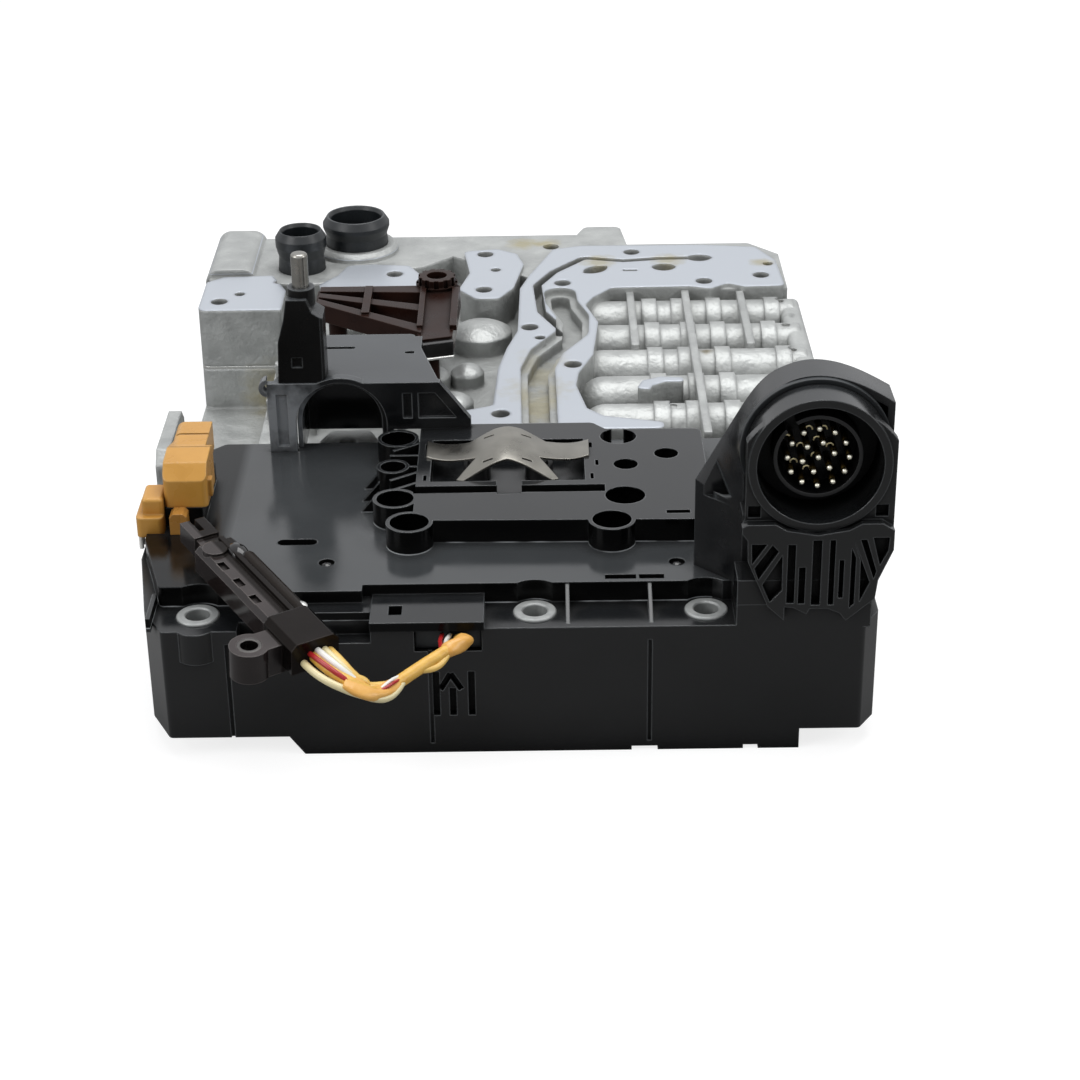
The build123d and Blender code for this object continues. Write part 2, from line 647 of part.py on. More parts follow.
def ledge_details():
    """Gussets, cable shelf, steps and the foot of the plug tower on the front ledge."""
    front = housing_front
    pieces = []
    for x in (20.6, 42.6):
        pieces.append(cross_prism([(plate_front + 1, ledge_height - 1), (plate_front + 1, plate_height - 0.5),
                                   (plate_front, plate_height - 0.5), (front + 2, ledge_height),
                                   (front + 2, ledge_height - 1)], (x, x + 1.0)))
    pieces.append(block((-31, -1), (front - 2, plate_front + 1), (ledge_height + 0.4 * plate_step / 6, plate_height - 3)))
    pieces.append(block((-31, -1), (front + 0.5, plate_front + 1), (ledge_height - 1, ledge_height + 1)))
    pieces.append(block((-50, -31), (front + 2, plate_front + 1), (ledge_height - 1, ledge_height + 2.5)))
    pieces.append(block((-57, -33.5), (-3.5, plate_front + 1), (ledge_height - 1, plate_height)))
    block_left, block_right = tower_x - 20.2, housing_right - 3.0
    pieces.append(block((block_left, block_right), (front, plate_front + 1), (ledge_height - 1, plate_height)))
    pieces.append(block((block_left, block_right), (front, hood_front - 0.2), (ledge_height - 1, tower_block_top)))
    pieces.append(block((housing_right - 1, housing_right + side_flange), (plate_front + 5, 66), (0, 23.5)))
    pieces.append(block((bush_places[0] - 13, bush_places[0] - 11.8), (front + 2, plate_front + 2),
                        (ledge_height - 1, ledge_height + 3)))
    pieces.append(rod_z((bush_places[0], front + 3.5), 5.6, (ledge_height - 9, ledge_height)))
    return pieces


def control_housing():
    """Moulded housing: walls, front ledge, top plate and platform as one piece, hollow and open below and behind."""
    walls = prism(outline(skirt_points(), 1.5), (0, ledge_height))
    plate = prism(outline(plate_points(), 1.5), (ledge_height - 1, plate_height))
    seat = block((housing_left + 6.6, housing_left + 17), (plate_front + 36, plate_front + 66),
                 (plate_height - 1, plate_height + plug_seat_height))
    body = union([walls, plate, platform(plate_height - 1), seat] + ledge_details())
    columns = [rod_z((x, bush_y), bush_column_radius, (lower_height, ledge_height)) for x in bush_places]
    columns.append(block((-68, -29), (housing_front + 0.5, housing_front + 7),
                         (ledge_height - ledge_step - 2, ledge_height)))
    body = union([body - inner_space()] + columns)
    cuts = [block((housing_left + 17, housing_right - wall), (housing_back - wall - 0.2, housing_back + 1),
                  (-1, plate_height - wall))]
    cuts += [rod_z((x, bush_y), bush_outer_radius + bush_clearance, (lower_height - 1, ledge_height + 3))
             for x in bush_places]
    cuts += [rod_z((x, bush_y), bush_column_radius - 0.3, (ledge_height, plate_height + 1)) for x in bush_places]
    cuts.append(block((-26.2, -22.7), (-11.5, -6.5), (36, plate_height)))
    for x, y in ((-44, 13), (51, 11)):
        cuts.append(rod_z((x, y), 2.2, (plate_height - 1.2, plate_height + 1)))
    cuts.append(prism(SlotCenterToCenter(7.5, 3.5).face(), (0, 3)).moved(Location((-53, 25.5, plate_height - 2))))
    cuts += [block(x, (plate_front + 1.6, plate_front + 4.0), (plate_height - 1.5, plate_height + 1))
             for x in ((31.3, 39.6), (40.4, 47.1))]
    return body.cut(*(cuts + platform_cuts() + front_wall_details()))


def bush(x):
    """Steel compression bush with a chamfered bore, standing on the lower casting."""
    body = rod_z((x, bush_y), bush_outer_radius, (lower_height, ledge_height + bush_proud))
    body = body - rod_z((x, bush_y), bush_inner_radius, (lower_height - 1, ledge_height + 3))
    rims = body.edges().filter_by(GeomType.CIRCLE).group_by(Axis.Z)[-1]
    return chamfer(rims, 0.35)


def hood_face(y, left_points, arch_points, inset=0.0):
    """Outline of the plug hood in X and Z from its left side and crown points, drawn towards the plug's axis."""
    places = []
    for x, z in left_points + arch_points:
        scale = 1 - inset / Vector(x, z).length
        places.append((tower_x + x * scale, y, tower_z + z * scale))
    count = len(left_points)
    right = [(places[-1][0], y, tower_z - 20), (places[-1][0] - 3.2, y, tower_z - 31),
             (places[-1][0] - 3.2, y, plate_height), (places[0][0], y, plate_height)]
    return make_face([Polyline(right[-1], *places[:count + 1]), Spline(*places[count:]),
                      Polyline(places[-1], *right)])


def hood_loft(y, inset=0.0):
    """Body between the hood's front outline and its wider back outline."""
    front = hood_face(y[0], [(-18.3, -18.0)], [(-18.7, 3.6), (-15.9, 10.7), (-12.3, 14.8), (-7.7, 18.2), (-3.1, 19.7),
                                               (3.4, 19.6), (12.0, 16.8), (20.0, 12.2)], inset)
    back = hood_face(y[1], [(-30.0, -14.5)], [(-19.5, 4.4), (-15.8, 10.6), (-11.2, 15.7), (-6.5, 18.2), (-1.8, 19.4),
                                              (3.4, 19.2), (12.0, 16.4), (20.0, 12.0)], inset)
    return loft([front, back], ruled=True)


def plug_hood():
    """Hood over the plug: arched shell open to the front round the socket, its left side slanting to the back."""
    back = hood_front + hood_depth
    body = hood_loft((hood_front, back))
    pocket = hood_loft((hood_front - 1, back - hood_wall), hood_wall) & \
        block((0, 200), (-30, 30), (tower_z - 18, 200))
    bore_radius_here = socket_radius + socket_wall - spigot_step + tube_clearance
    bore = rod_y(tower_x, (hood_front - 1, back - hood_wall), tower_z, bore_radius_here)
    web = cross_prism([(back - 1, plate_height), (back - 1, plate_height + 24), (back, plate_height + 24),
                       (back + 10, plate_height)], (tower_x - 27.4, tower_x - 25.2))
    web_right = cross_prism([(back - 1, plate_height), (back - 1, tower_z - 12), (back, tower_z - 12),
                             (back + 10, plate_height)], (tower_x + 14.2, tower_x + 16.4))
    return union([body - pocket - bore, web, web_right])


def frame_face(y):
    """Outline of the socket's front frame with its arched top and tapered foot."""
    half, x, z = frame_half_width, tower_x + 0.4, tower_z
    top = ThreePointArc((x - half, y, z + 6.5), (x, y, z + 16.6), (x + half, y, z + 6.5))
    rest = [(x + half, z + 6.5), (x + half, z - 21), (x + 15.6, tower_block_top), (x - 15, tower_block_top),
            (x - 18.4, z - 20.2), (x - half - 0.6, z - 18.2), (x - half - 0.6, z - 16.4), (x - half, z - 15.0),
            (x - half, z + 6.5)]
    return make_face([top, Polyline(*[(px, y, pz) for px, pz in rest])])


def frame_webs():
    """Ribbed foot in front of the frame: an outline that runs down over the housing to two tips, with its pockets."""
    rim = [(-18.1, -20.2), (-17.9, -26.2), (-12.4, -39.4), (-8.0, -43.6), (-8.0, -39.6), (-5.8, -39.8), (-2.2, -41.8),
           (-1.4, -40.2), (3.2, -40.2), (6.4, -41.6), (8.1, -43.8), (10.2, -42.0), (15.4, -37.4), (16.0, -32.0),
           (19.6, -23.2), (19.6, -17.6), (14.0, -14.0), (8.0, -17.4), (0.0, -18.8), (-8.0, -17.4), (-14.5, -13.4),
           (-19.6, -16.4), (-19.6, -18.2)]
    pockets = [[(-17.0, -21.2), (-13.0, -21.2), (-16.8, -27.0)], [(-11.6, -21.4), (-16.2, -28.2), (-15.0, -31.4),
               (-10.0, -23.4)], [(-9.0, -24.4), (-8.9, -34.6), (-11.9, -38.0), (-14.0, -33.0)],
               [(-7.6, -21.4), (-5.6, -21.4), (-5.6, -38.4), (-7.6, -38.4)],
               [(-4.6, -28.0), (-2.9, -28.0), (-2.9, -38.6), (-4.6, -38.6)],
               [(-1.2, -20.2), (1.1, -20.2), (1.1, -39.0), (-1.2, -39.0)],
               [(3.2, -20.2), (4.6, -20.2), (4.6, -39.0), (3.2, -39.0)],
               [(5.8, -26.0), (7.0, -26.0), (7.0, -37.0), (5.8, -37.0)],
               [(8.8, -22.6), (10.0, -25.4), (10.0, -38.8), (8.8, -40.0)],
               [(9.0, -19.6), (13.8, -32.6), (11.4, -38.2), (11.2, -26.0)],
               [(11.0, -20.2), (12.6, -20.2), (15.4, -29.4), (14.8, -31.6)],
               [(14.2, -19.6), (18.4, -19.6), (18.2, -23.4), (16.2, -27.6)]]
    return rim, pockets


def plug_frame():
    """Front frame of the plug: socket tube with a spigot behind, flat frame and the ribbed foot before it."""
    body = extrude(frame_face(tower_face), hood_front - tower_face, dir=(0, 1, 0))
    inner = hood_front + hood_depth - hood_wall
    radius = socket_radius + socket_wall
    tube = rod_y(tower_x, (tower_face, hood_front), tower_z, radius)
    spigot = rod_y(tower_x, (hood_front - 1, inner), tower_z, radius - spigot_step)
    lip = rod_y(tower_x, (tower_face - 1.0, tower_face), tower_z, radius)
    behind = block((tower_x - 30, tower_x + 30), (tower_face + frame_thickness, hood_front + 1),
                   (tower_z - 15.5, tower_z + 30))
    groove = rod_y(tower_x, (hood_front - 2 * seal_section - 0.05, hood_front + 1), tower_z, seal_radius() + 0.05)
    body = union([body - (behind + groove), tube, spigot, lip])
    rim, pockets = frame_webs()
    webs = side_prism([(tower_x + x, tower_z + z) for x, z in rim], (tower_face - web_depth, tower_face))
    for pocket in pockets:
        webs = webs - side_prism([(tower_x + x, tower_z + z) for x, z in pocket], (tower_face - web_depth - 1, tower_face))
    webs = webs & block((0, 200), (-40, 0), (0, tower_z - 15.6)) - rod_y(tower_x, (-40, 0), tower_z, radius - 0.5)
    body = union([body, webs])
    cuts = [rod_y(tower_x, (tower_face - 2, inner + 1), tower_z, socket_radius)]
    for side in (-1, 1):
        cuts.append(block((tower_x + side * 16.4 - 1.6, tower_x + side * 16.4 + 1.6), (tower_face - 1, tower_face + 2),
                          (tower_z - 14.6, tower_z - 11.4)))
    return body.cut(*cuts)


def contact_places():
    """Contact positions: one in the middle and two rings."""
    places = [(tower_x, tower_z)]
    for count, circle, turn in ((inner_contacts, inner_contact_circle, 15), (outer_contacts, outer_contact_circle, 0)):
        for i in range(count):
            angle = radians(turn + 360 * i / count)
            places.append((tower_x + circle * cos(angle), tower_z + circle * sin(angle)))
    return places


def plug_insert():
    """Round insert that carries the contacts, with the key ring round them."""
    back = insert_face + insert_thickness
    disc = rod_y(tower_x, (insert_face, back), tower_z, socket_radius - insert_clearance)
    ring = rod_y(tower_x, (insert_face - key_ring_length, insert_face), tower_z, key_ring_radius)
    ring = ring - rod_y(tower_x, (insert_face - key_ring_length - 1, insert_face), tower_z,
                        key_ring_radius - key_ring_wall)
    gap = Pos(tower_x, insert_face - key_ring_length / 2 - 0.5, tower_z) * Rot(0, 50, 0) * \
        Pos(-key_ring_radius, 0, 0) * Box(3.0, key_ring_length + 1, 3.2)
    body = union([disc, ring]) - gap
    return body.cut(*[rod_y(x, (insert_face - 1, back + 1), z, contact_radius) for x, z in contact_places()])


def contact_pins():
    """Contact pins with tapered tips."""
    back = insert_face + insert_thickness
    pins = []
    for x, z in contact_places():
        pin = rod_y(x, (back - contact_length - insert_thickness, back), z, contact_radius)
        pins.append(chamfer(pin.edges().filter_by(GeomType.CIRCLE).group_by(Axis.Y)[0], 0.25))
    return pins


def seal_radius():
    """Outer radius of the rubber ring on the socket tube."""
    return socket_radius + socket_wall + seal_section * 1.4


def plug_seal():
    """Rubber ring round the socket tube, between the frame and the hood."""
    ring = rod_y(tower_x, (hood_front - seal_section * 2, hood_front), tower_z, seal_radius())
    return ring - rod_y(tower_x, (hood_front - 9, hood_front + 1), tower_z, socket_radius + socket_wall + 0.02)


def solenoid(x):
    """Sealed solenoid can with a stepped nose, a groove for the retainer and a terminal block."""
    front = solenoid_front
    body = rod_y(x, (front + 6, solenoid_back - 4), solenoid_z, solenoid_radius)
    cap = rod_y(x, (front, front + 6), solenoid_z, solenoid_radius - 1.0)
    block_top = block((x - 3.5, x + 3.5), (front - 4, front + 1), (solenoid_z - 3, solenoid_z + 5))
    neck = rod_y(x, (solenoid_back - 4, solenoid_back), solenoid_z, solenoid_radius - 2.4)
    nose = rod_y(x, (solenoid_back, solenoid_back + solenoid_nose_length - 4), solenoid_z, solenoid_nose_radius)
    grooves = [rod_y(x, (y, y + 1.2), solenoid_z, solenoid_nose_radius + 1) -
               rod_y(x, (y - 1, y + 2), solenoid_z, solenoid_nose_radius - 0.9)
               for y in (solenoid_back + 2, solenoid_back + 5)]
    return union([body, cap, block_top, neck, nose]).cut(*grooves)


def solenoid_retainer():
    """Steel strip with forks that drop into the solenoid necks."""
    front = solenoid_back - 2.8
    strip = block((solenoid_places[0] - 12, solenoid_places[-1] + 12), (front, front + retainer_thickness),
                  (lower_height, plate_height - wall - 0.6))
    forks = []
    for x in solenoid_places:
        forks.append(rod_y(x, (front - 1, front + 3), solenoid_z, solenoid_radius - 2.4 + 0.1))
        forks.append(block((x - solenoid_radius + 2.3, x + solenoid_radius - 2.3), (front - 1, front + 3),
                           (lower_height - 1, solenoid_z)))
    return strip.cut(*forks)


def electronics():
    """Base plate, circuit board, its chips and its screws, in the front of the housing."""
    x, y = (housing_left + 31, tower_x - 25.4), (housing_front + 22, housing_front + 56)
    base_top = lower_height + base_plate_thickness
    board = base_top + board_standoff
    posts = [(px, py) for px in (x[0] + 5, x[1] - 5) for py in (y[0] + 4, y[1] - 4)]
    base = block(x, y, (lower_height, base_top))
    base = union([base] + [rod_z(place, 3.0, (base_top - 0.5, board)) for place in posts])
    base = base.cut(*[rod_z(place, 1.25, (base_top - 1, board + 1)) for place in posts])
    card = block((x[0] + 1, x[1] - 1), (y[0] + 1, y[1] - 1), (board, board + board_thickness))
    card = fillet(card.edges().filter_by(Axis.Z), 2.0).cut(*[rod_z(place, 1.6, (board - 1, board + 3))
                                                            for place in posts])
    face = board + board_thickness
    chips = [block((cx - w / 2, cx + w / 2), (cy - d / 2, cy + d / 2), (face, face + h)) for cx, cy, w, d, h in
             [(-20, 25, 20, 20, 1.6), (12, 27, 13, 10, 1.4), (36, 25, 9, 12, 2.4), (-47, 25, 10, 8, 2.4), (0, 14, 6, 4, 1.2)]]
    chips += [rod_z((cx, 15), 2.6, (face, face + 4.5)) for cx in (24, 31)]
    screws = [rod_z(place, 2.6, (face, face + 1.8)) + rod_z(place, 1.2, (base_top - 0.5, face)) for place in posts]
    return base, card, chips, screws


def pressure_sensors():
    """Two pressure sensors standing in the spring's window."""
    floor = platform_height - window_floor_depth
    return [rod_z((x, 62), 4.0, (floor, platform_height - 0.8)) + rod_z((x, 62), 2.6, (floor, platform_height + 0.2))
            for x in (-4.0, 14.0)]


def leaf_spring():
    """Four-armed leaf spring bent to a soft ridge, its front arms drooping, resting on the window's side rails."""
    c, half_length = spring_crown_x, spring_half_length
    top, base = platform_height + spring_rise, platform_height

    def section(y, drop):
        low, high = base - drop, top - 0.62 * drop
        upper = Spline((c - half_length, y, low + spring_sheet), (c - 9, y, high - 1.9), (c, y, high + spring_sheet),
                       (c + 9, y, high - 1.9), (c + half_length, y, low + spring_sheet))
        lower = Spline((c + half_length, y, low), (c + 9, y, high - 1.9 - spring_sheet), (c, y, high),
                       (c - 9, y, high - 1.9 - spring_sheet), (c - half_length, y, low))
        ends = [Line((c + half_length, y, low + spring_sheet), (c + half_length, y, low)),
                Line((c - half_length, y, low), (c - half_length, y, low + spring_sheet))]
        return make_face([upper, ends[0], lower, ends[1]])

    sheet = loft([section(76, 0.0), section(64, 0.0), section(56, 0.28 * spring_droop), section(48, spring_droop)])
    half = [(c, 71), (c + 4, 70.5), (c + 11, 67.5), (c + 23.5, 74.5), (c + 23.5, 64), (c + 9, 57), (c + 14.5, 50.6),
            (c + 12.5, 49.3), (c, 52.5)]
    mirrored = [(2 * c - px, py) for px, py in reversed(half[1:-1])]
    plan = prism(make_face(Polyline(*(half + mirrored), close=True)), (platform_height - 8, top + 3))
    slots = [block((c + px - 1.4, c + px + 1.4), (py - 0.4, py + 0.4), (platform_height - 4, top + 4))
             for px, py in ((-5.6, 53.6), (5.6, 53.6), (-5.4, 66.5), (5.4, 66.5))]
    return (sheet & plan).cut(*slots)


def sensor_bracket():
    """Moulded bracket: top plate, front wall with a blind barrel, left leg, slanted right web and side loop."""
    front, top, skin = bracket_front, bracket_top, bracket_wall
    left, right = arch_x - arch_radius - 7, arch_x + arch_radius + 16
    back = front + bracket_depth
    plan = [(left, front), (right, front), (right - 9, back), (left + 12.5, back)]
    plate = prism(outline(plan, 2.0), (top - skin, top))
    wall_points = [(left - 1, plate_height), (left - 1, top), (right, top), (right + 9, platform_height + 3),
                   (right + 9, platform_height), (arch_x + arch_radius + 2, platform_height),
                   (arch_x + arch_radius + 2, plate_height)]
    face = side_prism(wall_points, (front, front + skin))
    panels = [side_prism([(arch_x + 18.5, top - 3.5), (right - 1.5, top - 3.5), (right + 4.6, platform_height + 3.6),
                          (arch_x + 18.5, platform_height + 3.6)], (front - 1, front + 1.0)),
              block((left + 1.5, arch_x - arch_radius - arch_wall - 0.6), (front - 1, front + 0.8),
                    (plate_height + 2, top - 3.5))]
    lip = rod_y(arch_x, (front, front + arch_lip), arch_z, arch_radius + arch_wall)
    lip = lip & block((-200, 200), (front, front + arch_lip), (arch_z - 4, 200))
    legs = [block((arch_x + side * (arch_radius + arch_wall / 2) - arch_wall / 2,
                   arch_x + side * (arch_radius + arch_wall / 2) + arch_wall / 2), (front, front + arch_lip), (low, arch_z))
            for side, low in ((-1, plate_height + 3), (1, plate_height + 8))]
    outer, inner = arch_radius - 0.2, arch_radius - arch_wall
    end = front + barrel_depth
    barrel = barrel_form(outer, (front + skin - 0.5, end + arch_wall), plate_height + 0.2) + \
        barrel_form(outer, (housing_back + 0.3, end + arch_wall), floor_top + 6.6)
    hollow = barrel_form(inner, (front - 1, end), floor_top)
    opening = barrel_form(arch_radius, (front - 1, front + arch_lip), plate_height - 1)
    web = cross_prism([(front, platform_height), (front + 30, platform_height - 4), (front + 36, top), (front, top)],
                      (right - 8.4, right - 6.4))
    loop = rod_y(arch_x - 21.0, (front - 1, front + 2.5), top - 1.0, 2.8) - \
        rod_y(arch_x - 21.0, (front - 2, front + 4), top - 1.0, 1.4)
    loop = loop - block((left - 0.95, 0), (front - 2, front + 4), (top - 6, top + 4))
    cuts = [opening, hollow] + panels
    for x, y, w in [(arch_x - 6.0, front + 27.5, 9), (arch_x + 18.2, front + 23.3, 4.6)]:
        slot = SlotOverall(w, 1.8).face()
        cuts.append(prism(slot, (0, skin + 2)).moved(Location((x + w / 2, y, top - skin - 1))))
    return union([union([plate, face, lip, barrel] + legs).cut(*cuts), web, loop])


def barrel_form(radius, y, low):
    """Barrel along Y with a round top and upright sides down to its lower height."""
    upper = rod_y(arch_x, y, arch_z, radius) & block((arch_x - 30, arch_x + 30), y, (max(low, arch_z - radius), 200))
    return upper + block((arch_x - radius, arch_x + radius), y, (low, arch_z))


def tower_x_limits():
    """Left and right side of the sensor tower."""
    return arch_x - 18.0, arch_x - 4.0


def sensor_tower():
    """Sensor tower standing on the bracket's plate: stepped body with a collar for the probe."""
    left, right = tower_x_limits()
    front = bracket_front + 0.5
    points = [(left, bracket_top), (left + 0.6, bracket_top + 13), (left + 2.6, bracket_top + 20),
              (left + 3.6, sensor_tower_top), (left + 9.5, sensor_tower_top), (right - 3, bracket_top + 22),
              (right, bracket_top + 20), (right, bracket_top)]
    body = side_prism(points, (front, front + 10))
    body = chamfer(body.edges().filter_by(Axis.Z).group_by(Axis.Y)[0], 0.8)
    collar = rod_z((probe_place()[0], probe_place()[1]), 4.0, (sensor_tower_top - 3, sensor_tower_top + 2.5))
    socket = rod_z(probe_place(), probe_radius, (sensor_tower_top - 6, sensor_tower_top + 4))
    recess = block((left + 4.4, left + 7.4), (front - 1, front + 0.6), (bracket_top + 5, bracket_top + 8))
    arch = rod_y(arch_x, (front - 2, bracket_front + arch_lip + bush_clearance), arch_z,
                 arch_radius + arch_wall + bush_clearance)
    return union([body, collar]).cut(socket, recess, arch)


def probe_place():
    """Axis of the steel probe pin."""
    return arch_x - 10.2, bracket_front + 5.5


def probe_pin():
    """Steel pin in the sensor tower, with a rounded tip."""
    pin = rod_z(probe_place(), probe_radius, (sensor_tower_top - 6, probe_top))
    return fillet(pin.edges().filter_by(GeomType.CIRCLE).group_by(Axis.Z)[-1], 1.0)


def position_sensor():
    """Brown position sensor: three rails that spread from a narrow end to a block, a hub, and feet on the casting."""
    top = body_top + 12
    x, y = arch_x - arch_radius, 170.0
    low = top - 6
    rails = []
    for (start, end), width in (((y + 2.5, y - 24), 4.2), ((y + 8, y - 5.5), 3.6), ((y + 13.5, y + 11.5), 4.2)):
        points = [(x, start - width / 2), (x, start + width / 2), (x + 35, end + width), (x + 35, end - width / 2)]
        rails.append(prism(make_face(Polyline(*points, close=True)), (low, top)))
    nose = prism(outline([(x - 1, y), (x + 4, y - 1), (x + 4, y + 16), (x - 1, y + 16)], 1.0), (low, top - 1.5))
    bridge = prism(outline([(x + 15, y - 10), (x + 17.5, y - 10), (x + 17.5, y + 14), (x + 15, y + 14)], 0), (low, top + 0.8))
    head = prism(outline([(x + 33.5, y - 22), (x + 34.5, y - 31), (x + 45, y - 28), (x + 46.5, y + 18), (x + 33.5, y + 14)],
                         1.5), (top - 8, top - 0.6))
    frame = [prism(outline(points, 0), (top - 1, top + 0.8)) for points in
             ([(x + 33.5, y - 22), (x + 35.3, y - 22), (x + 35.3, y + 14), (x + 33.5, y + 14)],
              [(x + 44.0, y - 22), (x + 46.2, y - 22), (x + 46.2, y + 12), (x + 44.0, y + 12)])]
    hub_place = (x + 38.7, y + 17.2)
    hub = rod_z(hub_place, 6.2, (top - 8, top + 3))
    collar = rod_z(hub_place, 7.0, (top - 1.5, top + 0.6))
    feet = [rod_z((x + 6, y + 4), 3.0, (floor_top, top - 2)), rod_z((x + 38, y - 26), 2.6, (floor_top, top - 2))]
    body = union(rails + [nose, bridge, head, hub, collar] + frame + feet)
    ribs = [Pos(hub_place[0], hub_place[1], top + 3) * Rot(0, 0, 30 * i) * Pos(6.2, 0, 0) * Box(1.2, 1.6, 7)
            for i in range(12)]
    return body.cut(rod_z(hub_place, 3.4, (top - 4, top + 5)), *ribs)


def sensor_magnet():
    """Glossy magnet strip on the front edge of the position sensor."""
    x, top = arch_x - 13.5, body_top + 12
    corners = [(x + 34.9, 139.0), (x + 44.6, 141.9), (x + 45.4, 139.1), (x + 35.7, 136.2)]
    return prism(make_face(Polyline(*corners, close=True)), (top - 6.5, top - 1.2))


def orange_plug():
    """Orange plug on its seat at the left edge of the top plate: body with a stepped tail and a latch rib."""
    left, seat = housing_left, plate_height + plug_seat_height
    y = plate_front + 36
    side = [(y, seat), (y, seat + 8.0), (y + 4, seat + 12), (y + 13, seat + 12.5), (y + 18, seat + 11),
            (y + 34, seat + 11), (y + 34, seat + 3), (y + 18, seat)]
    body = cross_prism(side, (left + 6.3, left + 18.5))
    body = fillet(body.edges().filter_by(Axis.Y).group_by(Axis.Z)[-1], 2.4)
    body = fillet(body.edges().filter_by(Axis.Z).group_by(Axis.Y)[0], 1.6)
    tail_cut = block((left + 16.5, left + 20), (y + 17, y + 40), (seat - 1, seat + 20))
    rib = block((left + 18.4, left + 19.6), (y + 3, y + 6), (seat + 2, seat + 7))
    lines = [block((left + 6, left + 19), (y + 13.6, y + 14.4), (seat + 11.6, seat + 14)),
             block((left + 6, left + 17), (y + 25, y + 26), (seat + 10.3, seat + 14))]
    return union([body - tail_cut, rib]).cut(*lines)


def plug_lock():
    """Small amber lock block in front of the plug."""
    y = plate_front + 36
    body = block((housing_left + 8.2, housing_left + 13), (y - 5, y), (plate_height, plate_height + 6.2))
    return chamfer(body.edges().filter_by(Axis.Y).group_by(Axis.Z)[-1], 1.0)


def plug_cap():
    """Orange cap that hangs over the left edge beside the plug, in two steps."""
    y = plate_front + 32
    lower = block((housing_left - 1.4, housing_left + 6.2), (y, y + 14), (plate_height - cap_sink, plate_height + 4.6))
    lower = fillet(lower.edges().filter_by(Axis.Z), 1.6)
    upper = block((housing_left + 0.2, housing_left + 6.2), (y + 2.4, y + 12.6), (plate_height + 4, plate_height + 9.4))
    upper = fillet(upper.edges().filter_by(Axis.Z), 1.2)
    return union([lower, fillet(upper.edges().group_by(Axis.Z)[-1], 1.0)])


def plug_wires():
    """Short wire stubs under the cap, against the housing's left wall."""
    foot = plate_height - cap_sink
    return [rod_z((housing_left - 0.7, plate_front + y), 0.65, (foot - 4.5, foot)) for y in (34.5, 37.0)]


def loose_axes():
    """Frame of the loose sensor: X from its tip to its tail, Z out of its upper face."""
    tip, tail = Vector(*loose_tip), Vector(*loose_tail)
    along = (tail - tip).normalized()
    side = Vector(0, 0, 1).cross(along).normalized()
    return Plane(origin=tip, x_dir=along, z_dir=along.cross(side))


def loose_sensor():
    """Loose speed sensor: slim forked nose, ribbed body, thicker tail and a side eyelet."""
    length = (Vector(*loose_tail) - Vector(*loose_tip)).length
    half, w = loose_sensor_height / 2, loose_sensor_width
    body = block((14, length - 14), (-w / 2, w / 2), (-half, half))
    body = chamfer(body.edges().filter_by(Axis.X).group_by(Axis.Z)[-1], 1.4)
    neck = block((8, 15), (-3, 3), (-half + 0.8, half - 1.6))
    nose = block((0, 9), (-3.6, 3.6), (-half + 0.8, half - 0.8)) - block((-1, 6), (-0.8, 0.8), (-half, half))
    tail = block((length - 15, length), (-w / 2 - 0.8, w / 2 + 0.8), (-half, half + 1.4))
    tail = chamfer(tail.edges().filter_by(Axis.X).group_by(Axis.Z)[-1], 1.6)
    rib = block((14, length - 14), (1.0, 2.4), (half - 0.5, half + 1.2))
    hub = rod_z((18, -2), 3.4, (half - 1, half + 0.9))
    arm = block((length - 13, length - 5), (-w / 2 - 8, -w / 2), (-half - 2, half - 1))
    lug = rod_z(eyelet_place(length), eyelet_bush_radius + eyelet_wall, (-half - 2, half - 1))
    hole = rod_z(eyelet_place(length), eyelet_bush_radius + bush_clearance, (-half - 4, half + 2))
    slots = [block((24 + 9 * i, 28 + 9 * i), (-4.6, -2.6), (half - 1.0, half + 1)) for i in range(3)]
    return loose_axes() * union([body, neck, nose, tail, rib, hub, arm, lug]).cut(hole, *slots)


def eyelet_place(length):
    """Centre of the loose sensor's eyelet in the sensor's own frame."""
    return length - 9, -loose_sensor_width / 2 - 8


def eyelet_bush():
    """Metal bush of the loose sensor's eyelet."""
    place = eyelet_place((Vector(*loose_tail) - Vector(*loose_tip)).length)
    half = loose_sensor_height / 2
    body = rod_z(place, eyelet_bush_radius, (-half - 2, half - 1))
    return loose_axes() * (body - rod_z(place, eyelet_bush_radius - 0.9, (-half - 3, half)))


def cable_route():
    """Points of the cable from the loose sensor's tail to the window under the cable shelf."""
    base = ledge_height
    return [loose_tail, (-39.30, -43.43, base + 4.97), (-30.5, -46.5, base + 0.6), (-26.8, -44.0, base - 2.1),
            (-19.1, -35.0, base - 1.0), (-10.6, -27.0, base + 0.7), (-4.5, -20.5, base + 0.7),
            (-7.7, -13.9, base - 3.4)]


def sensor_cable():
    """Cable as straight runs joined by tangent arcs, and its bend radii printed."""
    points = [Vector(*p) for p in cable_route()]
    radii = []
    for before, here, after in zip(points, points[1:], points[2:]):
        turn = radians((here - before).get_angle(after - here))
        radii.append(0.45 * min((here - before).length, (after - here).length) / tan(turn / 2))
    print("cable radii", [round(radius, 1) for radius in radii])
    path = FilletPolyline(*points, radius=radii)
    section = Plane(origin=points[0], z_dir=points[1] - points[0]) * Circle(cable_diameter / 2)
    tube = sweep(section, path=path)
    print("cable volume", round(tube.volume, 1), "section times length", round(section.area * path.length, 1))
    return tube


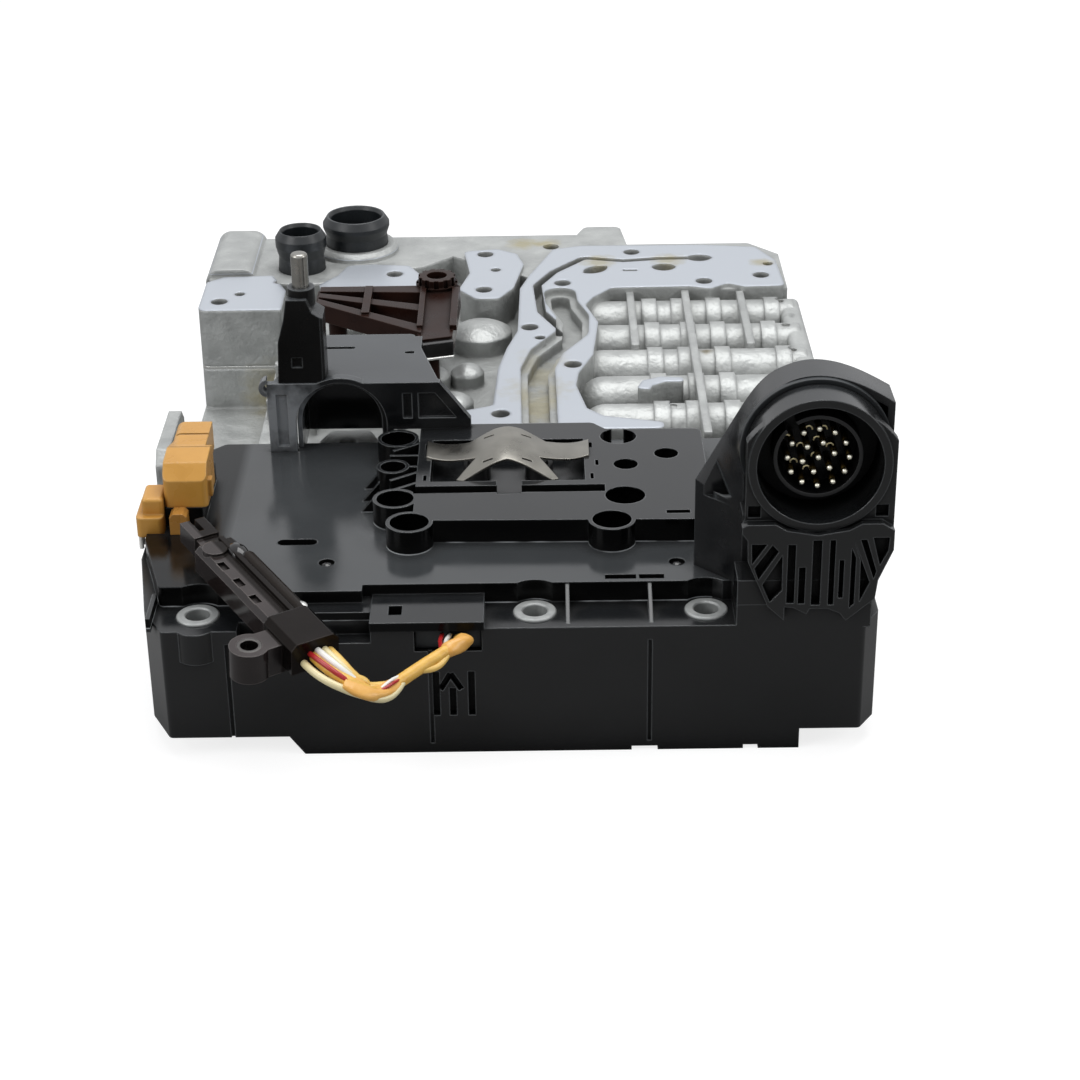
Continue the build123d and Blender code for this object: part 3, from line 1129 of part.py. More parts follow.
def cable_grommet():
    """Rubber grommet in the window that the cable enters."""
    end, before = Vector(*cable_route()[-1]), Vector(*cable_route()[-2])
    along = (end - before).normalized()
    boss = Plane(origin=end, z_dir=along) * Pos(0, 0, 0.9) * Cylinder(cable_diameter / 2 + 0.2, 1.8)
    low, high = window_heights[0] + 0.2, window_heights[1] - 0.2
    flange = block((-19.3, -1.9), (housing_front + 1.6, housing_front + wall - 0.1), (low, high))
    inner = block((-19.3, -1.9), (housing_front + 1.6, housing_front + 6.0), (low, ledge_height - ledge_thickness - 0.2))
    return union([boss, flange, inner])


def save(name, pieces):
    """Writes one node's solids to its own file."""
    pieces = pieces if isinstance(pieces, list) else [pieces]
    export_step(Compound(children=[solid for piece in pieces for solid in piece.solids()]), f"parts/{name}.step")


os.makedirs("parts", exist_ok=True)
base_plate, circuit_board, board_chips, board_screws = electronics()
nodes = {
    "lower_valve_body": lower_valve_body(),
    "separator_plate": separator_plate(),
    "upper_valve_body": upper_valve_body(),
    "plug_retaining_pins": plug_pins(),
    "check_balls": [Pos(x, y, lower_height - ball_pocket_depth + ball_radius) * Sphere(ball_radius)
                    for x, y in ball_places],
    "locating_dowels": [rod_z(place, dowel_radius, (lower_height - dowel_length / 2, separator_top + dowel_length / 2))
                        for place in dowel_places],
    "body_bolts": body_bolts(),
    "filter_screen": filter_screen(),
    "sleeve_small": sleeve(small_sleeve_place, small_sleeve_radius, small_sleeve_bore, small_sleeve_height, rear_top),
    "sleeve_large": sleeve(large_sleeve_place, large_sleeve_radius, large_sleeve_bore, large_sleeve_height,
                           rear_top + large_sleeve_boss),
    "control_housing": control_housing(),
    "compression_bushes": [bush(x) for x in bush_places],
    "plug_hood": plug_hood(),
    "plug_frame": plug_frame(),
    "plug_insert": plug_insert(),
    "contact_pins": contact_pins(),
    "plug_seal": plug_seal(),
    "base_plate": base_plate,
    "circuit_board": circuit_board,
    "board_chips": board_chips,
    "board_screws": board_screws,
    "solenoid_retainer": solenoid_retainer(),
    "pressure_sensors": pressure_sensors(),
    "leaf_spring": leaf_spring(),
    "sensor_bracket": sensor_bracket(),
    "sensor_tower": sensor_tower(),
    "probe_pin": probe_pin(),
    "position_sensor": position_sensor(),
    "sensor_magnet": sensor_magnet(),
    "orange_plug": orange_plug(),
    "plug_lock": plug_lock(),
    "plug_cap": plug_cap(),
    "plug_wires": plug_wires(),
    "loose_sensor": loose_sensor(),
    "eyelet_bush": eyelet_bush(),
    "sensor_cable": sensor_cable(),
    "cable_grommet": cable_grommet(),
}
for number, row_y in enumerate(bore_rows, 1):
    nodes[f"spool_{number}"] = spool(row_y)
    nodes[f"spool_spring_{number}"] = spool_spring(row_y)
    nodes[f"bore_plug_{number}"] = bore_plug(row_y)
for number, place_x in enumerate(solenoid_places, 1):
    nodes[f"solenoid_{number}"] = solenoid(place_x)
for name, pieces in nodes.items():
    save(name, pieces)
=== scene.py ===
"""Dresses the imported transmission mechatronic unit: its studio, its finishes and the fine pieces that the
solids leave plain. Metres, in the part's frame: X to the right, Y from the plug side to the back, Z up."""
from math import cos, pi, radians, sin, tau

import bmesh
import bpy
from mathutils import Euler, Matrix, Vector


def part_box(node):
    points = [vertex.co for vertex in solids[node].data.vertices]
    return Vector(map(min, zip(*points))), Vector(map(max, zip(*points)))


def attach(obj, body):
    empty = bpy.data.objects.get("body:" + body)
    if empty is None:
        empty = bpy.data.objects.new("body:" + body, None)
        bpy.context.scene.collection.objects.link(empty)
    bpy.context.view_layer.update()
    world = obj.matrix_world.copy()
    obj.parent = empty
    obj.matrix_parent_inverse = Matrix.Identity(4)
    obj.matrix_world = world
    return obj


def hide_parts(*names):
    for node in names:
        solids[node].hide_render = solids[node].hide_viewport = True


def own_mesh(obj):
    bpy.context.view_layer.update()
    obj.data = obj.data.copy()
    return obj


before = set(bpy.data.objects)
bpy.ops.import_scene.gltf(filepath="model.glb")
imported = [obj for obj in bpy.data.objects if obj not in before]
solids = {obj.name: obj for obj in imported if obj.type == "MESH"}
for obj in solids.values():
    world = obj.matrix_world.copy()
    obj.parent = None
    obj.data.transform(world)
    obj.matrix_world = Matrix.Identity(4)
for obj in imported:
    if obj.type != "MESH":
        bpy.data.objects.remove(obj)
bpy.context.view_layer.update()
scene = bpy.context.scene


# Studio: a white room over a pale floor, one wide soft lamp overhead and two weaker ones at the sides.
# The camera stands in front of the plug side and looks down on the unit by 27 degrees, as in the photograph.
def colour(red, green, blue):
    """Linear colour from the 8-bit values of a photograph."""
    values = [v / 255 for v in (red, green, blue)]
    return [v / 12.92 if v <= 0.04045 else ((v + 0.055) / 1.055) ** 2.4 for v in values] + [1.0]


def add_node(tree, kind, settings=None, inputs=None):
    """New node with its settings, and its inputs set to values or linked to other nodes' sockets."""
    node = tree.nodes.new(kind)
    for key, value in (settings or {}).items():
        setattr(node, key, value)
    for key, value in (inputs or {}).items():
        if isinstance(value, bpy.types.NodeSocket):
            tree.links.new(value, node.inputs[key])
        else:
            node.inputs[key].default_value = value
    return node


def reckon(tree, operation, *values, clamp=False):
    """Result of a sum on numbers and other nodes' sockets."""
    settings = {"operation": operation, "use_clamp": clamp}
    return add_node(tree, "ShaderNodeMath", settings, dict(enumerate(values))).outputs[0]


def white_room():
    """World that the camera and reflections see as white, and that lights the unit softly."""
    world = bpy.data.worlds.new("white_room")
    world.use_nodes = True
    tree = world.node_tree
    tree.nodes.clear()
    path = add_node(tree, "ShaderNodeLightPath").outputs
    seen = reckon(tree, "MAXIMUM", path["Is Camera Ray"], path["Is Transmission Ray"])
    soft = add_node(tree, "ShaderNodeBackground", None, {"Color": (0.95, 0.97, 1.0, 1), "Strength": 0.42})
    mirrored = add_node(tree, "ShaderNodeBackground", None, {"Color": (0.97, 0.98, 1.0, 1), "Strength": 0.9})
    white = add_node(tree, "ShaderNodeBackground", None, {"Color": (1, 1, 1, 1), "Strength": 1.0})
    glossy = add_node(tree, "ShaderNodeMixShader", None,
                      {0: path["Is Glossy Ray"], 1: soft.outputs[0], 2: mirrored.outputs[0]})
    both = add_node(tree, "ShaderNodeMixShader", None, {0: seen, 1: glossy.outputs[0], 2: white.outputs[0]})
    add_node(tree, "ShaderNodeOutputWorld", None, {"Surface": both.outputs[0]})
    return world


def floor_paint():
    """Matt floor that the camera sees as white outside the unit's shadow, and as clear from below."""
    paint = bpy.data.materials.new("floor_white")
    paint.use_nodes = True
    tree = paint.node_tree
    tree.nodes.clear()
    path = add_node(tree, "ShaderNodeLightPath")
    matt = add_node(tree, "ShaderNodeBsdfDiffuse", None, {"Color": (0.30, 0.30, 0.30, 1)})
    glow = add_node(tree, "ShaderNodeEmission", None,
                    {"Color": (0.8, 0.8, 0.8, 1), "Strength": path.outputs["Is Camera Ray"]})
    above = add_node(tree, "ShaderNodeAddShader", None, {0: matt.outputs[0], 1: glow.outputs[0]})
    side = add_node(tree, "ShaderNodeNewGeometry")
    below = add_node(tree, "ShaderNodeBsdfTransparent")
    both = add_node(tree, "ShaderNodeMixShader", None,
                    {0: side.outputs["Backfacing"], 1: above.outputs[0], 2: below.outputs[0]})
    add_node(tree, "ShaderNodeOutputMaterial", None, {"Surface": both.outputs[0]})
    return paint


def soft_lamp(name, place, target, size, power):
    """Square area lamp turned to its target."""
    lamp = bpy.data.lights.new(name, "AREA")
    lamp.shape, lamp.size, lamp.energy = "SQUARE", size, power
    stand = bpy.data.objects.new(name, lamp)
    stand.location = place
    stand.rotation_euler = (Vector(target) - Vector(place)).to_track_quat("-Z", "Y").to_euler()
    scene.collection.objects.link(stand)


scene.view_settings.view_transform = "Standard"
scene.world = white_room()
soft_lamp("lamp_above", (0.05, 0.25, 0.95), (0, 0.12, 0), 0.7, 7.0)
soft_lamp("lamp_left", (-0.75, -0.35, 0.55), (0, 0.08, 0.03), 0.5, 3.2)
soft_lamp("lamp_right", (0.8, -0.15, 0.5), (0.05, 0.08, 0.05), 0.4, 2.2)

floor_mesh = bpy.data.meshes.new("studio_floor")
floor_mesh.from_pydata([(-4, -4, 0), (4, -4, 0), (4, 4, 0), (-4, 4, 0)], [], [(0, 1, 2, 3)])
floor_mesh.materials.append(floor_paint())
studio_floor = bpy.data.objects.new("studio_floor", floor_mesh)
scene.collection.objects.link(studio_floor)

camera_data = bpy.data.cameras.new("photo_camera")
camera_data.lens, camera_data.sensor_width = 78.87, 36.0
camera_data.clip_start = 0.01
camera_place, camera_tilt, camera_roll = (0.014, -0.557, 0.3405), radians(63), radians(-0.75)
photo_camera = bpy.data.objects.new("photo_camera", camera_data)
photo_camera.matrix_world = (Matrix.Translation(camera_place)
                             @ Euler((camera_tilt, 0, 0)).to_matrix().to_4x4()
                             @ Matrix.Rotation(camera_roll, 4, "Z"))
scene.collection.objects.link(photo_camera)
scene.camera = photo_camera


# Castings: two pressure die castings in aluminium, left as cast outside and milled flat where gaskets sit.
# They are bolted together over the separator plate, and old oil has stained them round the channels.
socket_kinds = {float: "NodeSocketFloat", int: "NodeSocketInt", tuple: "NodeSocketVector"}


def shared_group(name, inputs, outputs):
    """Empty shader node group with named sockets, and the sockets at its two ends."""
    group = bpy.data.node_groups.new(name, "ShaderNodeTree")
    for label, value in inputs.items():
        socket = group.interface.new_socket(name=label, in_out="INPUT", socket_type=socket_kinds[type(value)])
        socket.default_value = value
    for label, kind in outputs.items():
        group.interface.new_socket(name=label, in_out="OUTPUT", socket_type=socket_kinds[kind])
    return group, group.nodes.new("NodeGroupInput").outputs, group.nodes.new("NodeGroupOutput").inputs


def blend(tree, share, under, over):
    """Colour that turns from the one under it to the one over it as the share grows."""
    return add_node(tree, "ShaderNodeMix", {"data_type": "RGBA"}, {0: share, 6: under, 7: over}).outputs[2]


def between(tree, share, low, high):
    """Number between two others, by the share."""
    return add_node(tree, "ShaderNodeMix", None, {0: share, 2: low, 3: high}).outputs[0]


def ramp(tree, value, start, end, low=0.0, high=1.0):
    """Number that runs from low to high while the value runs from start to end."""
    inputs = {0: value, 1: start, 2: end, 3: low, 4: high}
    return add_node(tree, "ShaderNodeMapRange", None, inputs).outputs[0]


def noise(tree, place, scale, detail):
    """Noise at a place, from 0 to 1."""
    inputs = {"Vector": place, "Scale": scale, "Detail": detail}
    return add_node(tree, "ShaderNodeTexNoise", None, inputs).outputs[0]


def own_place(tree):
    """Place in a piece's own coordinates, whole and split into X, Y and Z."""
    place = add_node(tree, "ShaderNodeTexCoord").outputs["Object"]
    return place, add_node(tree, "ShaderNodeSeparateXYZ", None, {0: place}).outputs


def facing(tree):
    """X, Y and Z of the way that the surface faces."""
    surface = add_node(tree, "ShaderNodeNewGeometry")
    return add_node(tree, "ShaderNodeSeparateXYZ", None, {0: surface.outputs["Normal"]}).outputs


def soft_edge_group():
    """Rounds edges in the normal and gives a mask of them, for rubbed edges and painted edge highlights."""
    group, given, result = shared_group("soft_edge", {"Radius": 0.0004, "Contrast": 8.0},
                                        {"Edge": float, "Normal": tuple})
    bevel = add_node(group, "ShaderNodeBevel", {"samples": 5}, {"Radius": given["Radius"]}).outputs[0]
    surface = add_node(group, "ShaderNodeNewGeometry")
    match = add_node(group, "ShaderNodeVectorMath", {"operation": "DOT_PRODUCT"},
                     {0: bevel, 1: surface.outputs["Normal"]})
    turn = reckon(group, "SUBTRACT", 1.0, match.outputs["Value"])
    group.links.new(reckon(group, "MULTIPLY", turn, given["Contrast"], clamp=True), result["Edge"])
    group.links.new(bevel, result["Normal"])
    return group


def grain_group():
    """Fine and coarse unevenness of a moulded or cast skin, as a height and a slow variation."""
    group, given, result = shared_group(
        "grain", {"Fine Scale": 2500.0, "Coarse Scale": 120.0, "Coarse Share": 0.5},
        {"Height": float, "Variation": float})
    place = add_node(group, "ShaderNodeTexCoord").outputs["Object"]
    fine = noise(group, place, given["Fine Scale"], 3.0)
    coarse = noise(group, place, given["Coarse Scale"], 4.0)
    group.links.new(between(group, given["Coarse Share"], fine, coarse), result["Height"])
    group.links.new(coarse, result["Variation"])
    return group


def level_dust_and_sheen_group():
    """Mask of the faces that look up, broken up by a slow noise, where dust and oil film settle and sheen is
    painted.
    """
    group, given, result = shared_group("level_dust_and_sheen", {"Amount": 0.5, "Patch Scale": 30.0}, {"Dust And Sheen": float})
    level = ramp(group, facing(group)[2], 0.75, 0.98)
    place = add_node(group, "ShaderNodeTexCoord").outputs["Object"]
    patchy = ramp(group, noise(group, place, given["Patch Scale"], 5.0), 0.3, 0.7, 0.6, 1.0)
    dust_and_sheen = reckon(group, "MULTIPLY", level, patchy)
    group.links.new(reckon(group, "MULTIPLY", dust_and_sheen, given["Amount"], clamp=True), result["Dust And Sheen"])
    return group


def painted_recess_shade_group():
    """Mask of corners and hollows, where little light comes, for painted shade."""
    group, given, result = shared_group("painted_recess_shade", {"Reach": 0.006}, {"Hollow": float})
    open_sky = add_node(group, "ShaderNodeAmbientOcclusion", {"samples": 6}, {"Distance": given["Reach"]})
    group.links.new(ramp(group, open_sky.outputs["AO"], 0.25, 0.9, 1.0, 0.0), result["Hollow"])
    return group


def stain_group():
    """Blurred spot round a place, broken up by noise."""
    group, given, result = shared_group("stain", {"Place": (0, 0, 0), "Reach": 0.01}, {"Spot": float})
    place = add_node(group, "ShaderNodeTexCoord").outputs["Object"]
    apart = add_node(group, "ShaderNodeVectorMath", {"operation": "DISTANCE"}, {0: place, 1: given["Place"]})
    share = reckon(group, "DIVIDE", apart.outputs["Value"], given["Reach"])
    ragged = reckon(group, "ADD", share, noise(group, place, 260.0, 3.0))
    group.links.new(ramp(group, ragged, 0.8, 1.5, 1.0, 0.0), result["Spot"])
    return group


soft_edge = soft_edge_group()
grain = grain_group()
level_dust_and_sheen = level_dust_and_sheen_group()
painted_recess_shade = painted_recess_shade_group()
stain = stain_group()


def finish(name, dark, light, roughness, metallic=0.0, bump=0.1, scales=(2500.0, 120.0, 0.5),
           edge=(0.0004, 8.0, 0.3), edge_wear_and_glint_colour=None, rough_spread=0.1, relief_depth=0.0004, dust_and_sheen=None,
           painted_hollow_shade=None, specular=0.5):
    """Material whose colour drifts between two tones, with rounded edges lightened as wear and painted
    highlight, a fine skin, a film of dust and painted sheen on faces that look up, and hollows painted dark
    as shade.
    scales: fine, coarse, share of the coarse. edge: radius, contrast, share. Film of dust and painted sheen:
    colour,
    amount. Painted shade in hollows: colour, reach, share. A moulding's painted shade in hollows also turns
    metallic, as black metal reflects nothing."""
    skin = bpy.data.materials.new(name)
    skin.use_nodes = True
    tree = skin.node_tree
    shader = tree.nodes["Principled BSDF"]
    shader.inputs["Metallic"].default_value = metallic
    shader.inputs["Specular IOR Level"].default_value = specular
    grains = add_node(tree, "ShaderNodeGroup", {"node_tree": grain},
                      {"Fine Scale": scales[0], "Coarse Scale": scales[1], "Coarse Share": scales[2]}).outputs
    edges = add_node(tree, "ShaderNodeGroup", {"node_tree": soft_edge},
                     {"Radius": edge[0], "Contrast": edge[1]}).outputs
    tone = blend(tree, grains["Variation"], dark, light)
    # Edges are lightened, partly as wear and partly as painted highlight.
    wear_and_painted_light = blend(tree, reckon(tree, "MULTIPLY", edges["Edge"], edge[2]), tone, edge_wear_and_glint_colour or light)
    smooth, rough = roughness - rough_spread / 2, roughness + rough_spread / 2
    dullness = ramp(tree, grains["Variation"], 0.3, 0.7, smooth, rough)
    relief = add_node(tree, "ShaderNodeBump", None, {"Strength": bump, "Distance": relief_depth,
                                                     "Height": grains["Height"], "Normal": edges["Normal"]})
    # Faces that look up are lightened, partly by a film of dust and partly as painted sheen.
    if dust_and_sheen:
        dust_and_sheen_node = add_node(tree, "ShaderNodeGroup", {"node_tree": level_dust_and_sheen}, {"Amount": dust_and_sheen[1]})
        wear_and_painted_light = blend(tree, dust_and_sheen_node.outputs[0], wear_and_painted_light, dust_and_sheen[0])
    # Hollows are painted dark as shade; in a moulding the painted shade is also made metallic, so that it
    # reflects nothing.
    if painted_hollow_shade:
        painted_dark_corner = add_node(tree, "ShaderNodeGroup", {"node_tree": painted_recess_shade}, {"Reach": painted_hollow_shade[1]})
        painted_shade = reckon(tree, "MULTIPLY", painted_dark_corner.outputs[0], painted_hollow_shade[2])
        wear_and_painted_light = blend(tree, painted_shade, wear_and_painted_light, painted_hollow_shade[0])
        dullness = between(tree, painted_shade, dullness, 0.95)
        if not metallic:
            tree.links.new(painted_shade, shader.inputs["Metallic"])
    tree.links.new(wear_and_painted_light, shader.inputs["Base Color"])
    tree.links.new(dullness, shader.inputs["Roughness"])
    tree.links.new(relief.outputs[0], shader.inputs["Normal"])
    return skin


def fed_by(node, label):
    """Socket that feeds an input of a node."""
    return node.inputs[label].links[0].from_socket


def stained(tree, under, place, reach, share, tint):
    """Colour with a blurred spot of another colour at a place."""
    spot = add_node(tree, "ShaderNodeGroup", {"node_tree": stain}, {"Place": place, "Reach": reach})
    return blend(tree, reckon(tree, "MULTIPLY", spot.outputs[0], share), under, tint)


def dress(material, *names):
    """Gives CAD solids their finish."""
    for name in names:
        mesh = solids[name].data
        mesh.materials.clear()
        mesh.materials.append(material)


land_height = 0.046
oil, old_oil, painted_hole_shade = colour(158, 146, 98), colour(96, 84, 50), colour(20, 20, 20)
painted_slot_shade = colour(6, 6, 6)
# Stains: x, y, z, reach, share and tint. The black rows are painted shade, behind the housing's slots, in a
# notch at the right edge and in two small holes; the rest are oil.
cast_stains = [
    (0.036, 0.239, 0.046, 0.0075, 0.6, oil), (0.061, 0.240, 0.046, 0.0075, 0.6, oil),
    (0.014, 0.125, 0.0395, 0.014, 0.45, oil), (0.016, 0.150, 0.0395, 0.012, 0.35, oil),
    (0.018, 0.262, 0.046, 0.006, 0.6, oil), (0.009, 0.262, 0.0446, 0.007, 0.6, oil),
    (0.0695, 0.162, 0.044, 0.0028, 0.9, old_oil), (0.094, 0.236, 0.046, 0.005, 0.6, oil),
    (-0.078, 0.196, 0.016, 0.012, 0.5, oil), (-0.0095, -0.0111, 0.018, 0.036, 1.0, painted_slot_shade),
    (0.1002, 0.1947, 0.040, 0.003, 1.0, painted_hole_shade),
    (0.073, 0.155, 0.043, 0.0014, 1.0, painted_hole_shade), (0.073, 0.128, 0.043, 0.0014, 1.0, painted_hole_shade)]


def cast_finish():
    """Cast aluminium with lands milled flat at the gasket height, oil stains, and shade painted black behind
    the slots, in a notch and in two small holes.
    """
    # Edges are lightened as wear and painted highlight, and hollows painted dark as shade.
    skin = finish("cast_aluminium", colour(144, 146, 145), colour(190, 192, 190), 0.44, metallic=0.45,
                  bump=0.8, scales=(800, 125, 0.85), edge=(0.0016, 4.0, 0.4),
                  edge_wear_and_glint_colour=colour(206, 208, 207), relief_depth=0.0016, rough_spread=0.16,
                  painted_hollow_shade=(colour(86, 86, 82), 0.009, 0.5))
    tree = skin.node_tree
    shader = tree.nodes["Principled BSDF"]
    split = own_place(tree)[1]
    land = reckon(tree, "COMPARE", split[2], land_height, 0.00015)
    tone = blend(tree, land, fed_by(shader, "Base Color"), colour(184, 189, 196))
    for x, y, z, reach, share, tint in cast_stains:
        tone = stained(tree, tone, (x, y, z), reach, share, tint)
    dullness = between(tree, land, fed_by(shader, "Roughness"), 0.36)
    relief = fed_by(shader, "Normal").node
    flat = between(tree, reckon(tree, "MULTIPLY", land, 0.93), fed_by(relief, "Height"), 0.5)
    tree.links.new(flat, relief.inputs["Height"])
    tree.links.new(tone, shader.inputs["Base Color"])
    tree.links.new(dullness, shader.inputs["Roughness"])
    return skin


dress(cast_finish(), "upper_valve_body", "lower_valve_body")


# Metal pieces in and under the castings: plate, pins, balls and dowels of bright steel, the zinc-plated bolts
# and screws, spools, bore plugs and base plate of turned aluminium, and the solenoids in plated cans.
bright_steel = finish("bright_steel", colour(185, 185, 182), colour(215, 215, 212), 0.28, metallic=1.0,
                      bump=0.05)
dress(bright_steel, "separator_plate", "plug_retaining_pins", "check_balls", "locating_dowels",
      "solenoid_retainer", "filter_screen")
bolt_zinc = finish("bolt_zinc", colour(120, 120, 122), colour(150, 150, 152), 0.38, metallic=1.0, bump=0.08)
dress(bolt_zinc, "body_bolts", "board_screws")
turned_aluminium = finish("turned_aluminium", colour(178, 178, 176), colour(205, 205, 203), 0.3, metallic=1.0,
                          bump=0.06)
dress(turned_aluminium, "base_plate", *[f"spool_{i}" for i in range(1, 6)],
      *[f"bore_plug_{i}" for i in range(1, 6)])
solenoid_plating = finish("solenoid_plating", colour(140, 140, 132), colour(172, 170, 160), 0.34,
                          metallic=1.0)
dress(solenoid_plating, *[f"solenoid_{i}" for i in range(1, 7)])


# Oil filter: a woven wire cloth laid in the pressed ring under the lower casting. Its wires lie in two
# crossed rows, cut to the round of the ring.
filter_seat = (-0.040, 0.135, 0.0030)


def step(tree, kind, inputs=None):
    """What a new Geometry Nodes step makes from its inputs."""
    return add_node(tree, "GeometryNode" + kind, None, inputs).outputs[0]


def geometry_tree(name, inputs):
    """Empty Geometry Nodes tree with named inputs, and the sockets that they give."""
    tree = bpy.data.node_groups.new(name, "GeometryNodeTree")
    tree.interface.new_socket(name="Geometry", in_out="INPUT", socket_type="NodeSocketGeometry")
    for label, value in inputs.items():
        socket = tree.interface.new_socket(name=label, in_out="INPUT", socket_type=socket_kinds[type(value)])
        socket.default_value = value
    tree.interface.new_socket(name="Material", in_out="INPUT", socket_type="NodeSocketMaterial")
    tree.interface.new_socket(name="Geometry", in_out="OUTPUT", socket_type="NodeSocketGeometry")
    return tree, tree.nodes.new("NodeGroupInput").outputs


def close_tree(tree, given, shape):
    """Ends a tree in Realize Instances and Set Material."""
    real = step(tree, "RealizeInstances", {0: shape})
    painted = step(tree, "SetMaterial", {"Geometry": real, "Material": given["Material"]})
    tree.links.new(painted, tree.nodes.new("NodeGroupOutput").inputs[0])
    return tree


def joined(tree, shapes):
    """Several shapes as one."""
    join = add_node(tree, "GeometryNodeJoinGeometry")
    for shape in shapes:
        tree.links.new(shape, join.inputs[0])
    return join.outputs[0]


def triple(tree, inputs):
    """Vector from its X, Y and Z, which are its inputs 0, 1 and 2."""
    return add_node(tree, "ShaderNodeCombineXYZ", None, inputs).outputs[0]


def grown(name, tree, material, values, start=None):
    """Plain mesh object that a Geometry Nodes tree makes from its input values."""
    piece = bpy.data.objects.new(name, start or bpy.data.meshes.new(name))
    scene.collection.objects.link(piece)
    modifier = piece.modifiers.new("growth", "NODES")
    modifier.node_group = tree
    for socket in tree.interface.items_tree:
        if socket.in_out == "INPUT" and socket.name in values:
            modifier[socket.identifier] = values[socket.name]
        if socket.in_out == "INPUT" and socket.name == "Material":
            modifier[socket.identifier] = material
    depsgraph = bpy.context.evaluated_depsgraph_get()
    made = bpy.data.meshes.new_from_object(piece.evaluated_get(depsgraph), depsgraph=depsgraph)
    piece.modifiers.clear()
    piece.data = made
    made.shade_smooth()
    return piece


def cloth_tree():
    """Two crossed rows of thin wires inside a round rim, with 14 wires on each side of the middle one."""
    tree, given = geometry_tree("wire_cloth", {"Rim": 0.0135, "Pitch": 0.0009, "Wire": 0.00014, "Rows": 29})
    rows = []
    for turn in (0.0, pi / 2):
        line = step(tree, "MeshLine", {"Count": given["Rows"], "Offset": triple(tree, {1: given["Pitch"]})})
        first = reckon(tree, "MULTIPLY", given["Pitch"], -14.0)
        centred = step(tree, "Transform", {"Geometry": line, "Translation": triple(tree, {1: first})})
        apart = add_node(tree, "ShaderNodeSeparateXYZ", None, {0: step(tree, "InputPosition")}).outputs[1]
        rim_square = reckon(tree, "MULTIPLY", given["Rim"], given["Rim"])
        rest = reckon(tree, "SUBTRACT", rim_square, reckon(tree, "MULTIPLY", apart, apart))
        reach = triple(tree, {0: 1.0, 1: 1.0, 2: reckon(tree, "SQRT", rest)})
        rod = step(tree, "MeshCylinder", {"Vertices": 6, "Radius": given["Wire"], "Depth": 2.0})
        placed = step(tree, "InstanceOnPoints",
                      {"Points": centred, "Instance": rod, "Rotation": (0, pi / 2, 0), "Scale": reach})
        rows.append(step(tree, "Transform", {"Geometry": placed, "Rotation": (0, 0, turn)}))
    seated = step(tree, "Transform", {"Geometry": joined(tree, rows), "Translation": filter_seat})
    return close_tree(tree, given, seated)


filter_cloth = grown("filter_cloth", cloth_tree(), bright_steel, {})
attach(filter_cloth, "unit")


# Spool springs: round steel wire coiled between each spool and its bore plug, and held there by both.
def round_bar(tree, line, radius, sides):
    """Round bar with closed ends along a curve."""
    ring = step(tree, "CurvePrimitiveCircle", {"Resolution": sides, "Radius": radius})
    return step(tree, "CurveToMesh", {"Curve": line, "Profile Curve": ring, "Fill Caps": True})


def coil_tree():
    """Coil spring along X from its near end."""
    tree, given = geometry_tree("coil_spring", {"Coil": 0.0037, "Wire": 0.0005, "Length": 0.0149,
                                                "Turns": 8.0, "Start": (0, 0, 0)})
    path = step(tree, "CurveSpiral", {"Resolution": 20, "Rotations": given["Turns"],
                                      "Start Radius": given["Coil"], "End Radius": given["Coil"],
                                      "Height": given["Length"]})
    laid = step(tree, "Transform", {"Geometry": round_bar(tree, path, given["Wire"], 8),
                                    "Rotation": (0, pi / 2, 0), "Translation": given["Start"]})
    return close_tree(tree, given, laid)


spring_steel = finish("spring_steel", colour(118, 116, 110), colour(154, 151, 144), 0.3, metallic=1.0,
                      bump=0.03, scales=(2600, 150, 0.4))
coil = coil_tree()
wire = 0.0005
for number in range(1, 6):
    low, high = (Vector(painted_dark_corner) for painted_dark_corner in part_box(f"spool_spring_{number}"))
    middle = (low + high) / 2
    spring = grown(f"spool_coil_{number}", coil, spring_steel,
                   {"Length": high.x - low.x - 2 * wire, "Start": (low.x + wire, middle.y, middle.z)})
    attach(spring, "unit")
    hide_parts(f"spool_spring_{number}")
    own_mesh(spring)


# Rubber pieces: the two oil sleeves in the back corner, the plug's seal and the cable's grommet, moulded in
# dark rubber with a faint bloom and pushed into their seats. Their faces that look up are lightened as bloom
# and painted sheen, their edges as wear and painted highlight, and their hollows are painted dark as shade.
dark_rubber = finish("dark_rubber", colour(14, 17, 19), colour(28, 32, 35), 0.36, bump=0.1,
                     edge=(0.0005, 5.0, 0.25), edge_wear_and_glint_colour=colour(84, 90, 94),
                     dust_and_sheen=(colour(60, 66, 70), 0.25), painted_hollow_shade=(colour(4, 5, 5), 0.004, 0.6))
dress(dark_rubber, "sleeve_small", "sleeve_large", "plug_seal", "cable_grommet")


# Electronics: the green circuit board with its chips, fixed to the base plate, and the pressure sensors below
# the leaf spring. The housing closes them in.
board_green = finish("board_green", colour(24, 84, 52), colour(30, 100, 62), 0.35)
dress(board_green, "circuit_board")
chip_black = finish("chip_black", colour(24, 24, 25), colour(40, 40, 42), 0.45)
dress(chip_black, "board_chips", "pressure_sensors")


# Control housing: a thin moulding of glass-filled nylon, glossy where the tool was polished, with rounded
# edges painted bright as wear and highlight, and a dull film of dust and painted sheen on the faces that look
# up. It sits over the base plate and the board.
plate_height, ledge_height = 0.044, 0.038
hood_left = 0.060
glint_line_width = 0.00034  # of the painted highlight line along the foot of a step wall
dark_corner_start, dark_corner_end = -0.0715, -0.0745  # in X, where the plate turns to painted shade under the loose sensor
nylon_grain = (3500, 90, 0.3)


